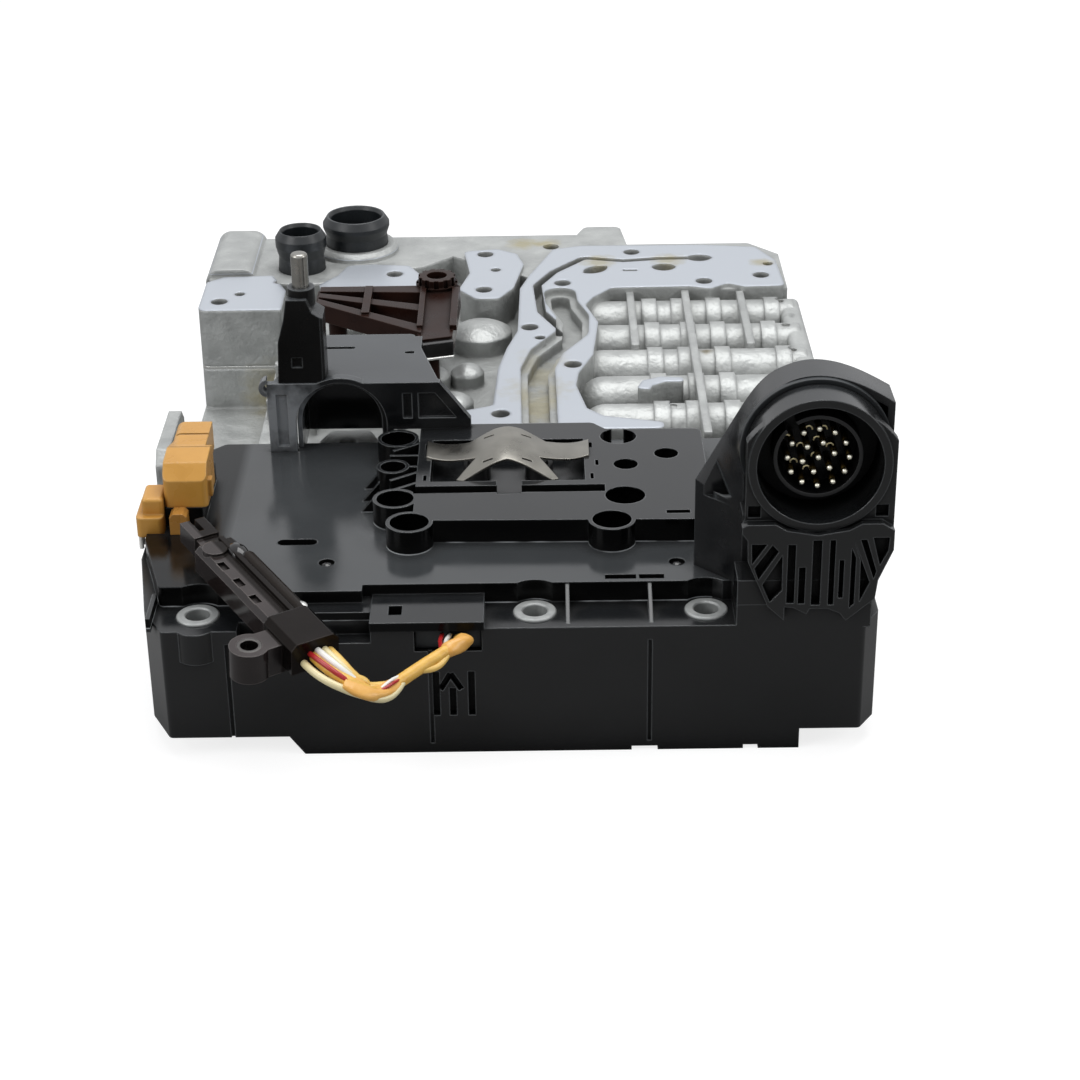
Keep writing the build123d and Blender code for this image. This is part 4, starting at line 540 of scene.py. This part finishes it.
def housing_finish():
    """Polished black nylon: more haze of dust and painted sheen on the wide top plate than on the platform
    above it, step walls and left corner painted deep black as shade and dark reflection, and a broken line of
    painted highlight where the walls run out into the plate and the ledge."""
    skin = finish("black_nylon", colour(11, 11, 12), colour(18, 19, 20), 0.13, bump=0.04, scales=nylon_grain,
                  edge=(0.0005, 9.0, 0.55), edge_wear_and_glint_colour=colour(136, 140, 142),
                  dust_and_sheen=(colour(50, 53, 56), 0.22), painted_hollow_shade=(colour(3, 3, 3), 0.006, 0.95))
    tree = skin.node_tree
    shader = tree.nodes["Principled BSDF"]
    clean = fed_by(shader, "Base Color")
    place, split = own_place(tree)
    plate = reckon(tree, "COMPARE", split[2], plate_height, 0.00015)
    # The top plate is lightened by a haze, partly dust and partly painted sheen.
    haze_and_sheen = blend(tree, reckon(tree, "MULTIPLY", plate, 0.37), clean, colour(86, 89, 91))
    # The step walls and the plate's left corner are painted black as shade and dark reflection, and made
    # metallic so that they reflect nothing.
    steep = reckon(tree, "COMPARE", facing(tree)[2], 0.0, 0.3)
    high = reckon(tree, "GREATER_THAN", split[2], ledge_height - 0.0001)
    step_side = reckon(tree, "MULTIPLY", high, reckon(tree, "LESS_THAN", split[0], hood_left))
    wall = reckon(tree, "MULTIPLY", step_side, steep)
    painted_dark_corner = reckon(tree, "MULTIPLY", ramp(tree, split[0], dark_corner_start, dark_corner_end), plate)
    painted_dark_reflection_and_shade = reckon(tree, "MULTIPLY", reckon(tree, "MAXIMUM", wall, painted_dark_corner), 0.75)
    deep = blend(tree, painted_dark_reflection_and_shade, haze_and_sheen, colour(3, 3, 3))
    # A broken line of painted highlight runs along the foot of the step walls.
    feet = [reckon(tree, "COMPARE", split[2], height + glint_line_width / 2, glint_line_width / 2)
            for height in (plate_height, ledge_height)]
    wall_foot_glint = reckon(tree, "MULTIPLY", wall, reckon(tree, "ADD", *feet))
    broken = ramp(tree, noise(tree, place, 90.0, 1.0), 0.42, 0.58, 0.1, 0.9)
    line = reckon(tree, "MULTIPLY", wall_foot_glint, broken)
    dark = reckon(tree, "MAXIMUM", fed_by(shader, "Metallic"), painted_dark_reflection_and_shade)
    tree.links.new(blend(tree, line, deep, colour(176, 180, 182)), shader.inputs["Base Color"])
    tree.links.new(reckon(tree, "SUBTRACT", dark, line, clamp=True), shader.inputs["Metallic"])
    return skin


dress(housing_finish(), "control_housing")


# Heat-staked heads: the ends of two nylon posts, melted over into domes in the round recesses of the top
# plate, where they hold the posts for good.
def stake_tree():
    """Flat domes at the points of the input mesh."""
    tree, given = geometry_tree("stake_heads", {"Radius": 0.0017})
    dome = step(tree, "MeshUVSphere", {"Segments": 24, "Rings": 14, "Radius": given["Radius"]})
    placed = step(tree, "InstanceOnPoints", {"Points": given["Geometry"], "Instance": dome,
                                             "Scale": (1, 1, 0.65)})
    return close_tree(tree, given, placed)


stake_black = finish("stake_black", colour(10, 10, 11), colour(20, 20, 21), 0.1, bump=0.5,
                     scales=(900, 300, 0.6))
stake_spots = bpy.data.meshes.new("stake_spots")
stake_spots.from_pydata([(-0.044, 0.013, 0.0428), (0.051, 0.011, 0.0428)], [], [])
stake_heads = grown("stake_heads", stake_tree(), stake_black, {}, stake_spots)
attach(stake_heads, "unit")


# Plug: a hood with a round shroud, the frame with its finned foot clipped in front of it, and the deep insert
# that holds the contacts. They are separate mouldings in black nylon, each with its own gloss.
# The hood and frame have a film of dust and painted sheen on faces that look up; all three have edges
# lightened as wear and painted highlight and hollows painted dark as shade.
matt_nylon = finish("matt_nylon", colour(14, 15, 16), colour(24, 25, 27), 0.24, bump=0.02, scales=nylon_grain,
                    edge=(0.0004, 9.0, 0.35), edge_wear_and_glint_colour=colour(110, 114, 116),
                    dust_and_sheen=(colour(52, 55, 58), 0.3), painted_hollow_shade=(colour(4, 4, 4), 0.004, 0.8))
dress(matt_nylon, "plug_hood")
ribbed_nylon = finish("ribbed_nylon", colour(12, 13, 13), colour(20, 21, 22), 0.17, bump=0.02,
                      scales=nylon_grain, edge=(0.0005, 9.0, 0.4), edge_wear_and_glint_colour=colour(128, 132, 134),
                      dust_and_sheen=(colour(58, 61, 64), 0.35), painted_hollow_shade=(colour(3, 3, 3), 0.010, 0.95))
dress(ribbed_nylon, "plug_frame")
deep_black = finish("deep_black", colour(12, 12, 13), colour(18, 18, 19), 0.3, bump=0.05, scales=nylon_grain,
                    edge=(0.00035, 8.0, 0.3), edge_wear_and_glint_colour=colour(90, 92, 92),
                    painted_hollow_shade=(colour(2, 2, 2), 0.006, 0.9))
dress(deep_black, "plug_insert")


# Contacts: nineteen gold-plated pins with domed tips, pressed into the insert in two rings round a middle
# one. Bright half collars stand between them.
def pin_tree():
    """Rings of round pins that point along -Y, round the plug's axis."""
    tree, given = geometry_tree("pin_rings", {"Outer Ring": 0.008, "Inner Ring": 0.0042, "Radius": 0.00085,
                                              "Length": 0.014, "Root": (0, 0, 0)})
    outer = step(tree, "MeshCircle", {"Vertices": 12, "Radius": given["Outer Ring"]})
    inner = step(tree, "MeshCircle", {"Vertices": 6, "Radius": given["Inner Ring"]})
    turned = step(tree, "Transform", {"Geometry": inner, "Rotation": (0, 0, radians(15))})
    spots = joined(tree, [outer, turned, step(tree, "MeshLine", {"Count": 1})])
    shaft_length = reckon(tree, "SUBTRACT", given["Length"], given["Radius"])
    shaft = step(tree, "MeshCylinder", {"Vertices": 20, "Radius": given["Radius"], "Depth": shaft_length})
    half = triple(tree, {2: reckon(tree, "MULTIPLY", shaft_length, 0.5)})
    raised = step(tree, "Transform", {"Geometry": shaft, "Translation": half})
    tip = step(tree, "MeshUVSphere", {"Segments": 20, "Rings": 12, "Radius": given["Radius"]})
    capped = step(tree, "Transform", {"Geometry": tip, "Translation": triple(tree, {2: shaft_length})})
    placed = step(tree, "InstanceOnPoints", {"Points": spots, "Instance": joined(tree, [raised, capped])})
    faced = step(tree, "Transform", {"Geometry": placed, "Rotation": (pi / 2, 0, 0),
                                     "Translation": given["Root"]})
    return close_tree(tree, given, faced)


def collar_tree():
    """Half rings, open downwards, that stand across the plug's axis at the points of the input mesh."""
    tree, given = geometry_tree("contact_collars", {"Radius": 0.0009, "Wire": 0.00027})
    arc = step(tree, "CurveArc", {"Resolution": 12, "Radius": given["Radius"], "Start Angle": radians(-10),
                                  "Sweep Angle": radians(200)})
    bow = round_bar(tree, arc, given["Wire"], 8)
    upright = step(tree, "Transform", {"Geometry": bow, "Rotation": (pi / 2, 0, 0)})
    placed = step(tree, "InstanceOnPoints", {"Points": given["Geometry"], "Instance": upright})
    return close_tree(tree, given, placed)


dome_root, dome_crown = -0.0091, -0.0096
collar_y = -0.0062


def gold_with_painted_light():
    """Gold plating, painted dark on the shafts as shade and near white on the domed tips as highlight."""
    skin = finish("gold_with_painted_light", colour(56, 46, 24), colour(84, 70, 36), 0.3, metallic=1.0, bump=0.02)
    tree = skin.node_tree
    shader = tree.nodes["Principled BSDF"]
    # The domed tips are painted near white as highlight, over shafts painted dark as shade.
    tip = ramp(tree, own_place(tree)[1][1], dome_root, dome_crown)
    painted_tip_highlight = blend(tree, tip, fed_by(shader, "Base Color"), colour(250, 246, 228))
    tree.links.new(painted_tip_highlight, shader.inputs["Base Color"])
    return skin


pins_low, pins_high = (Vector(painted_dark_corner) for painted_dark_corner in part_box("contact_pins"))
plug_x, plug_z = (pins_low.x + pins_high.x) / 2, (pins_low.z + pins_high.z) / 2
contact_set = grown("contact_set", pin_tree(), gold_with_painted_light(),
                    {"Length": pins_high.y - pins_low.y, "Root": (plug_x, pins_high.y, plug_z)})
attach(contact_set, "unit")
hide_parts("contact_pins")
collar_spots = bpy.data.meshes.new("collar_spots")
collar_spots.from_pydata([(plug_x + x, collar_y, plug_z + z) for x, z in [
    (-0.0080, 0.0042), (-0.0024, 0.0066), (0.0014, 0.0066), (-0.0002, 0.0036), (-0.0044, 0.0019),
    (0.0032, 0.0017), (-0.0006, -0.0009), (-0.0060, -0.0026), (-0.0026, -0.0046)]], [], [])
old_gold = finish("old_gold", colour(190, 176, 128), colour(228, 216, 176), 0.3, metallic=1.0, bump=0.02)
contact_collars = grown("contact_collars", collar_tree(), old_gold, {}, collar_spots)
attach(contact_collars, "unit")


# Compression bushes: turned steel tubes seated in the front ledge, which take the clamping load of the fixing
# bolts. Their faces are dull from handling.
bush_steel = finish("bush_steel", colour(138, 140, 140), colour(174, 176, 174), 0.44, metallic=0.35, bump=0.2,
                    scales=(2200, 400, 0.5))
dress(bush_steel, "compression_bushes")


# Leaf spring: stamped from stainless strip and bent, its rolled surface brushed dull. It sits in the
# platform's window, over the pressure sensors.
dress(spring_steel, "leaf_spring")


# Sensor bracket: an arch of black nylon with the sensor tower on it, and a ground steel probe pin pressed
# into the tower. The front of the arch's left leg is painted lighter as a reflection.
leg_front = (-0.0620, 0.084, 0.055)


def bracket_finish():
    """Black nylon of the bracket, with a reflection painted on the front of its left leg."""
    # Faces that look up are lightened strongly, as dust and painted sheen.
    skin = finish("dust_and_sheen_nylon", colour(13, 14, 15), colour(22, 23, 25), 0.2, bump=0.02, scales=nylon_grain,
                  edge=(0.0005, 9.0, 0.6), edge_wear_and_glint_colour=colour(150, 154, 156), dust_and_sheen=(colour(76, 80, 84), 0.56),
                  painted_hollow_shade=(colour(3, 3, 3), 0.005, 0.8))
    tree = skin.node_tree
    shader = tree.nodes["Principled BSDF"]
    # The front of the left leg is painted lighter as a reflection.
    painted_leg_reflection = stained(tree, fed_by(shader, "Base Color"), leg_front, 0.016, 0.75, colour(146, 150, 154))
    tree.links.new(painted_leg_reflection, shader.inputs["Base Color"])
    return skin


dress(bracket_finish(), "sensor_bracket")
# Faces that look up are lightened strongly as dust and painted sheen, edges as wear and painted highlight,
# and hollows painted dark as shade.
tower_black = finish("tower_black", colour(8, 8, 8), colour(15, 15, 15), 0.26, bump=0.02, scales=nylon_grain,
                     edge=(0.0005, 9.0, 0.5), edge_wear_and_glint_colour=colour(120, 124, 126),
                     dust_and_sheen=(colour(120, 124, 128), 0.5), painted_hollow_shade=(colour(4, 4, 4), 0.004, 0.8), specular=0.22)
dress(tower_black, "sensor_tower")
ground_steel = finish("ground_steel", colour(118, 116, 112), colour(168, 166, 160), 0.24, metallic=1.0,
                      bump=0.1, scales=(1800, 260, 0.5))
dress(ground_steel, "probe_pin")


# Position sensor: a brown moulding of bars and a block, with its gloss black magnet block. A bright steel
# wire clips the magnet in place.
def strand_tree():
    """Round strand along the polyline of the input mesh."""
    tree, given = geometry_tree("strand", {"Radius": 0.0005})
    line = step(tree, "MeshToCurve", {0: given["Geometry"]})
    return close_tree(tree, given, round_bar(tree, line, given["Radius"], 10))


def polyline(name, points):
    """Mesh of points joined one after the other by edges."""
    mesh = bpy.data.meshes.new(name)
    mesh.from_pydata(points, [(i, i + 1) for i in range(len(points) - 1)], [])
    return mesh


strand = strand_tree()
# Edges are lightened as wear and painted highlight, and hollows painted dark as shade.
brown_moulding = finish("brown_moulding", colour(26, 12, 9), colour(44, 25, 19), 0.3, bump=0.06,
                        edge=(0.0004, 7.0, 0.3), edge_wear_and_glint_colour=colour(104, 82, 72),
                        painted_hollow_shade=(colour(6, 4, 3), 0.006, 0.9), specular=0.12)
dress(brown_moulding, "position_sensor")
gloss_black = finish("gloss_black", colour(16, 15, 15), colour(24, 22, 22), 0.1, bump=0.02)
dress(gloss_black, "sensor_magnet")
clip_line = polyline("clip_line", [(-0.0223, 0.1362, 0.0517), (-0.0126, 0.1391, 0.0517)])
magnet_clip = grown("magnet_clip", strand, bright_steel, {"Radius": 0.0005}, clip_line)
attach(magnet_clip, "unit")


# Loose sensor: a dark brown moulding with a steel bush in its eyelet. A round core lies along its inner side,
# with a glossy drop over the sensing head and a small bright clip.
sensor_tip, sensor_tail = Vector((-0.0809, 0.0204, 0.0510)), Vector((-0.0431, -0.0376, 0.0437))
sensor_along = (sensor_tail - sensor_tip).normalized()
sensor_side = Vector((0, 0, 1)).cross(sensor_along).normalized()
sensor_up = sensor_along.cross(sensor_side)
tail_start, tail_full = 0.0525, 0.0550  # along the sensor, where the painted shade widens
core_border, tail_border = -0.0014, -0.0072  # across it, where the painted shade begins


def sensor_finish():
    """Dark brown moulding, with dust and painted sheen on the face with the pockets, and painted nearly black
    as shade near core and tail.
    """
    skin = finish("dark_moulding", colour(22, 18, 17), colour(40, 33, 32), 0.16, bump=0.06,
                  edge=(0.0004, 8.0, 0.5), edge_wear_and_glint_colour=colour(150, 142, 138), dust_and_sheen=(colour(74, 66, 65), 0.45),
                  painted_hollow_shade=(colour(6, 5, 5), 0.005, 0.9), specular=0.4)
    tree = skin.node_tree
    shader = tree.nodes["Principled BSDF"]
    place = add_node(tree, "ShaderNodeTexCoord").outputs["Object"]
    from_tip = add_node(tree, "ShaderNodeVectorMath", {"operation": "SUBTRACT"},
                        {0: place, 1: tuple(sensor_tip)}).outputs[0]
    along, across = (add_node(tree, "ShaderNodeVectorMath", {"operation": "DOT_PRODUCT"},
                              {0: from_tip, 1: tuple(way)}).outputs["Value"]
                     for way in (sensor_along, sensor_side))
    # The side by the core and the tail are painted nearly black as shade, and made metallic so they reflect
    # nothing.
    border = ramp(tree, along, tail_start, tail_full, core_border, tail_border)
    painted_side_shade = ramp(tree, reckon(tree, "SUBTRACT", across, border), -0.0003, 0.0004, 0.0, 0.8)
    halves = blend(tree, painted_side_shade, fed_by(shader, "Base Color"), colour(18, 13, 9))
    dark = reckon(tree, "MAXIMUM", fed_by(shader, "Metallic"), painted_side_shade)
    tree.links.new(halves, shader.inputs["Base Color"])
    tree.links.new(dark, shader.inputs["Metallic"])
    return skin


def on_sensor(x, y, z):
    """Place in the loose sensor's own frame: along it from its tip, across it, and out of its upper face."""
    return sensor_tip + sensor_along * x + sensor_side * y + sensor_up * z


def plain_mesh(name, shape):
    """Smooth mesh from a finished bmesh, with its faces turned outwards."""
    bmesh.ops.recalc_face_normals(shape, faces=shape.faces)
    mesh = bpy.data.meshes.new(name)
    shape.to_mesh(mesh)
    shape.free()
    mesh.shade_smooth()
    return mesh


def pebble(name, middle, half_sizes, material):
    """Smooth rounded lump in the loose sensor's frame."""
    shape = bmesh.new()
    bmesh.ops.create_uvsphere(shape, u_segments=32, v_segments=16, radius=1.0)
    for vert in shape.verts:
        x, y, z = (middle[i] + vert.co[i] * half_sizes[i] for i in range(3))
        vert.co = on_sensor(x, y, z)
    lump = bpy.data.objects.new(name, plain_mesh(name, shape))
    lump.data.materials.append(material)
    scene.collection.objects.link(lump)
    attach(lump, "unit")


dress(sensor_finish(), "loose_sensor")
core_line = polyline("core_line", [on_sensor(x / 1000, 0.0043, 0.0026) for x in (24, 35, 46, 57)])
core_brown = finish("core_brown", colour(15, 11, 8), colour(30, 22, 16), 0.26, bump=0.04, specular=0.14)
sensor_core = grown("sensor_core", strand, core_brown, {"Radius": 0.0024}, core_line)
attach(sensor_core, "unit")
pebble("sensor_drop", (0.0215, 0.0030, 0.0034), (0.0042, 0.0027, 0.0022), gloss_black)
pebble("sensor_clip", (0.0530, 0.0054, 0.0042), (0.0018, 0.0012, 0.0007), bright_steel)
dull_steel = finish("dull_steel", colour(70, 69, 68), colour(104, 102, 100), 0.3, metallic=1.0, bump=0.06)
dress(dull_steel, "eyelet_bush")


# Sensor cable: a limp lead of five thin wires. They fan out of the loose sensor's tail, are bound with orange
# tape up to the fold in front of the housing, and run in a yellow woven sleeve to the window under the shelf.
cable_route = [(-0.0431, -0.0376, 0.0437), (-0.03930, -0.04343, 0.04297), (-0.0305, -0.0465, 0.0386),
               (-0.0268, -0.0440, 0.0359), (-0.0191, -0.0350, 0.0370), (-0.0106, -0.0270, 0.0387),
               (-0.0045, -0.0205, 0.0387), (-0.0077, -0.0139, 0.0346)]
sleeve_radius = 0.0017
cable_curve = bpy.data.curves.new("sensor_lead", "CURVE")
cable_curve.dimensions = "3D"
cable_spline = cable_curve.splines.new("NURBS")
cable_spline.points.add(len(cable_route) - 1)
for point, place in zip(cable_spline.points, cable_route):
    point.co = (*place, 1)
cable_spline.order_u = 3
cable_spline.use_endpoint_u = True
cable_spline.resolution_u = 24
bare_line = bpy.data.objects.new("bare_line", cable_curve.copy())
cable_line = [v.co.copy() for v in bpy.data.meshes.new_from_object(bare_line).vertices]
bpy.data.objects.remove(bare_line)
cable_curve.bevel_depth = sleeve_radius
cable_curve.bevel_resolution = 6
cable_curve.use_fill_caps = True
sensor_lead = bpy.data.objects.new("sensor_lead", cable_curve)
scene.collection.objects.link(sensor_lead)
sleeve_yellow = finish("sleeve_yellow", colour(198, 142, 44), colour(240, 198, 98), 0.4, bump=0.7,
                       scales=(1500, 420, 0.6), edge=(0.0002, 4.0, 0.0))
cable_curve.materials.append(sleeve_yellow)


def along_cable(reach):
    """Points of the cable's line with their distance from its start, and a level direction across it."""
    travelled, places = 0.0, []
    for here, after in zip(cable_line, cable_line[1:]):
        across = (after - here).cross(Vector((0, 0, 1))).normalized()
        if reach[0] <= travelled <= reach[1]:
            places.append((travelled, here, across))
        travelled += (after - here).length
    return places


def wire_mesh(name, reach, spread, rise, crest):
    """Polyline beside the cable's line: its offsets at both ends of its reach, and its bulge between them."""
    places = along_cable(reach)
    points = []
    for travelled, here, across in places:
        share = (travelled - places[0][0]) / (places[-1][0] - places[0][0])
        side = spread[0] + (spread[1] - spread[0]) * share + crest[0] * sin(pi * share)
        height = rise[0] + (rise[1] - rise[0]) * share + crest[1] * sin(pi * share)
        points.append(here + across * side + Vector((0, 0, height)))
    return polyline(name, points)


wire_paints = {}
for shade, dark, light, roughness in [("cream", colour(214, 200, 150), colour(236, 224, 182), 0.3),
                                      ("yellow", colour(220, 176, 84), colour(240, 204, 120), 0.32),
                                      ("red", colour(150, 24, 28), colour(180, 40, 40), 0.28),
                                      ("white", colour(222, 220, 214), colour(240, 238, 232), 0.3)]:
    wire_paints[shade] = finish(f"wire_{shade}", dark, light, roughness, bump=0.03, edge=(0.0002, 4, 0))
lead_pieces = []
for name, shade, reach, spread, rise, crest, radius in [
        ("wire_yellow", "yellow", (0, 0.016), (-0.004, -0.002), (0.0004, 0.0002), (-0.0003, 0.0006), 0.0013),
        ("wire_cream", "cream", (0, 0.017), (0.0034, 0.002), (-0.0008, -0.0004), (0.0006, 0), 0.001),
        ("wire_red", "red", (0, 0.0145), (0.0016, 0.0006), (0.0014, 0.0004), (0, 0.0006), 0.0007),
        ("wire_white", "white", (0, 0.015), (-0.0006, -0.0012), (0.0017, 0.0004), (0, 0.0007), 0.0009),
        ("wire_pale", "cream", (0, 0.0155), (-0.0026, -0.002), (0.0013, 0.0002), (0, 0.0006), 0.001),
        ("fold_cream", "cream", (0.017, 0.03), (0.0016, 0.0004), (-0.0006, 0.0), (0.0012, -0.0004), 0.001),
        ("fold_red", "red", (0.0205, 0.0285), (0.001, 0.0004), (0.001, 0.0009), (0.0006, 0.0009), 0.0004),
        ("fold_white", "white", (0.0215, 0.03), (0.0003, -0.0004), (0.0011, 0.0008), (0, 0.0009), 0.0005),
        ("tape_edge", "yellow", (0.0125, 0.0255), (-0.0022, -0.0006), (0.0004, 0.0004), (-0.0012, 0.0006),
         0.0012),
        ("flap", "yellow", (0.036, 0.045), (0.0008, 0.0008), (-0.0004, -0.0004), (0.001, -0.0009), 0.0009)]:
    line = wire_mesh(f"lead_{name}", reach, spread, rise, crest)
    lead_pieces.append(grown(f"lead_{name}", strand, wire_paints[shade], {"Radius": radius}, line))
for shade, points in [
        ("red", [(-0.0121, -0.0136, 0.0362), (-0.0124, -0.0190, 0.0372), (-0.0118, -0.0262, 0.0382)]),
        ("white", [(-0.0100, -0.0136, 0.0360), (-0.0108, -0.0190, 0.0374), (-0.0110, -0.0258, 0.0386)])]:
    line = polyline(f"lead_core_{shade}", points)
    lead_pieces.append(grown(f"lead_core_{shade}", strand, wire_paints[shade], {"Radius": 0.0006}, line))


def wrap_mesh(name, reach, near_size, far_size, blunt):
    """Tape wrap with rounded ends, swept along the cable's line: half width and half height at both ends."""
    places = along_cable(reach)
    corners = 20
    shape = bmesh.new()
    rings = []
    for number, (travelled, here, across) in enumerate(places):
        share = number / (len(places) - 1)
        wide, high = (a + (b - a) * share for a, b in zip(near_size, far_size))
        swell = min(1.0, blunt + (1 - blunt) * sin(pi * share) * 2.4)
        ring = []
        for i in range(corners):
            angle = tau * i / corners
            lump = swell * (1 + 0.07 * sin(3 * angle + 9 * share))
            offset = across * (wide * cos(angle) * lump) + Vector((0, 0, high * sin(angle) * lump))
            ring.append(shape.verts.new(here + offset))
        rings.append(ring)
    for near, far in zip(rings, rings[1:]):
        for i in range(corners):
            after = (i + 1) % corners
            shape.faces.new((near[i], near[after], far[after], far[i]))
    shape.faces.new(list(reversed(rings[0])))
    shape.faces.new(rings[-1])
    return plain_mesh(name, shape)


# Edges are lightened as wear and painted highlight.
tape_orange = finish("tape_orange", colour(206, 142, 50), colour(238, 188, 104), 0.32, bump=0.4,
                     scales=(900, 260, 0.7), edge=(0.0003, 5.0, 0.3), edge_wear_and_glint_colour=colour(246, 214, 170))
for name, reach, near_size, far_size, blunt in [
        ("lead_tape", (0.0120, 0.0275), (0.0040, 0.0018), (0.0022, 0.0018), 0.9),
        ("lead_boot", (0.0435, 0.0560), (0.0021, 0.0020), (0.0024, 0.0023), 0.6)]:
    wrap = bpy.data.objects.new(name, wrap_mesh(name, reach, near_size, far_size, blunt))
    scene.collection.objects.link(wrap)
    wrap.data.materials.append(tape_orange)
    lead_pieces.append(wrap)
for piece in lead_pieces:
    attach(piece, "unit")
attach(sensor_lead, "unit")
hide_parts("sensor_cable")


# Orange plug: an orange nylon body with its cap, and an amber lock pushed in at its foot. The stubs of its
# cut wires stand out below.
# Edges are lightened as wear and painted highlight, and hollows painted dark as shade.
orange_nylon = finish("orange_nylon", colour(178, 126, 44), colour(206, 154, 74), 0.3, bump=0.08,
                      edge=(0.0008, 6.0, 0.4), edge_wear_and_glint_colour=colour(232, 190, 118),
                      painted_hollow_shade=(colour(104, 62, 16), 0.005, 0.6))
dress(orange_nylon, "orange_plug", "plug_cap")
amber_nylon = finish("amber_nylon", colour(150, 104, 44), colour(186, 134, 66), 0.3, bump=0.06)
dress(amber_nylon, "plug_lock")
dress(wire_paints["white"], "plug_wires")
